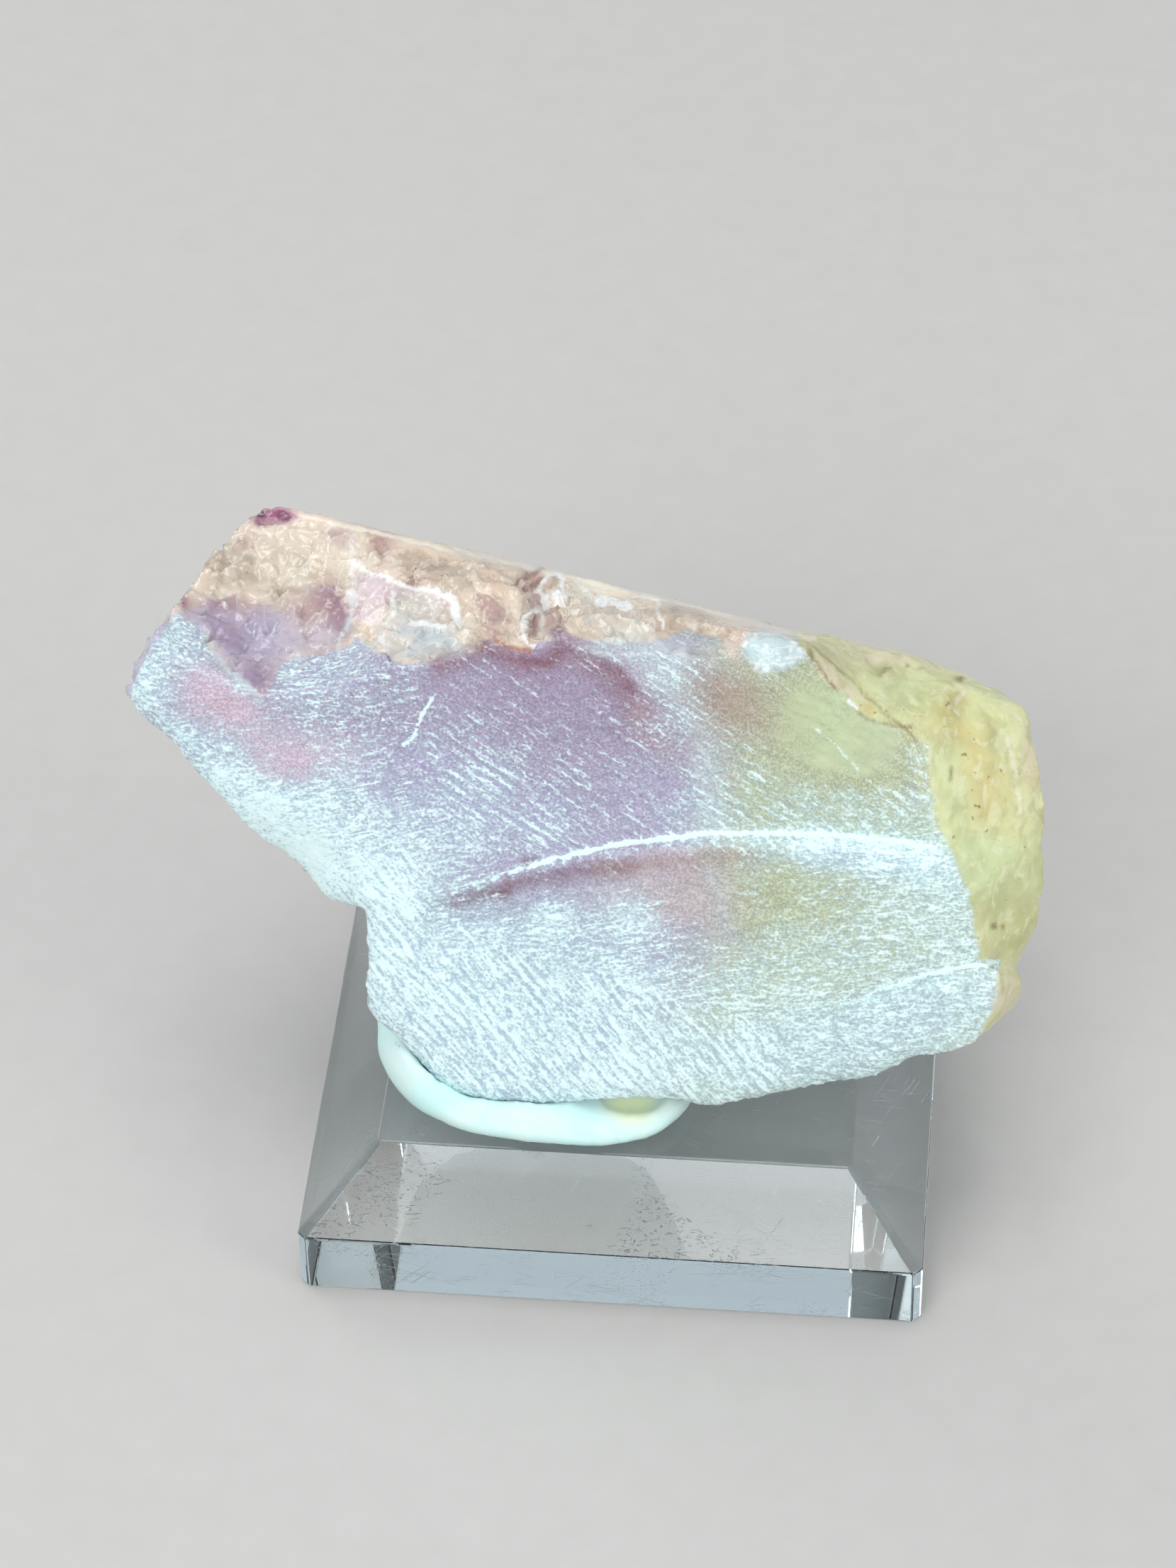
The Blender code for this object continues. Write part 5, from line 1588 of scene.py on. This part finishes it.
@dataclass(frozen=True)
class AcrylicFinish:
    """Clear polished acrylic with hairline scratches. Sizes are in millimetres, directions in degrees."""

    clear: Colour = (0.995, 1.0, 1.0, 1.0)
    scuffed: Colour = (0.84, 0.88, 0.9, 1.0)
    absorbed: Colour = (0.6, 0.9, 1.0, 1.0)
    absorption: float = 12.0
    ior: float = 1.49
    roughness: float = 0.01
    scratch_ways: tuple[float, ...] = (12.0, -28.0, 63.0)
    scratch_length: float = 9.0
    scratch_width: float = 0.12
    scratch_rise: float = 0.01
    patch_size: float = 5.0
    haze_size: float = 1.2

    def material(self) -> bpy.types.Material:
        """Build the material."""
        bench = MaterialBench("clear_acrylic")
        place = bench.place()
        scratches = 0.0
        for direction in self.scratch_ways:
            hair = bench.strokes(place, direction, self.scratch_length, self.scratch_width)
            scratches = hair.ramp(0.66, 0.72) + scratches
        marks = (scratches * bench.grain(place, self.patch_size, 2.0).ramp(0.5, 0.65)).ramp(0.0, 1.0)
        haze = bench.grain(place, self.haze_size, 3.0).ramp(0.5, 0.8)
        values = {"Color": self.absorbed, "Density": self.absorption}
        return bench.finish({
            "Base Color": bench.mix(marks, self.clear, self.scuffed),
            "Roughness": self.roughness + marks * 0.3 + haze * 0.03,
            "Normal": bench.bump(marks, self.scratch_rise, 0.5),
            "Transmission Weight": 1.0,
            "IOR": self.ior,
        }, bench.node("ShaderNodeVolumeAbsorption", {}, values))


@dataclass(frozen=True)
class DisplayBlock:
    """The clear block with a bevelled top."""

    name: str = "display_block"
    node: str = "base"
    polish_radius: float = 0.16 * MM
    polish_steps: int = 3
    flat_angle: float = math.radians(0.5)

    def build(self) -> bpy.types.Object:
        """Build the block and put it in its solid's place."""
        mesh = solid_copy(self.node)
        bmesh.ops.dissolve_limit(mesh, angle_limit=self.flat_angle, verts=mesh.verts, edges=mesh.edges)
        bmesh.ops.bevel(mesh, geom=list(mesh.edges), offset=self.polish_radius, segments=self.polish_steps,
                        profile=0.5, affect="EDGES", clamp_overlap=True)
        bmesh.ops.triangulate(mesh, faces=mesh.faces)
        bmesh.ops.recalc_face_normals(mesh, faces=mesh.faces)
        block = make_piece(self.name, mesh)
        block.data.materials.append(AcrylicFinish().material())
        block.data.shade_flat()
        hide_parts(self.node)
        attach(block, BODY)
        log.info("%s: %d triangles", block.name, len(block.data.polygons))
        return block


def main() -> None:
    """Build the studio and every piece, in order."""
    logging.basicConfig(level=logging.INFO, format="%(message)s")
    studio = Studio()
    studio.stand_camera()
    studio.lay_floor()
    studio.light()
    DisplayBlock().build()
    Putty().build()
    Fluorite().build()


if __name__ == "__main__":
    main()
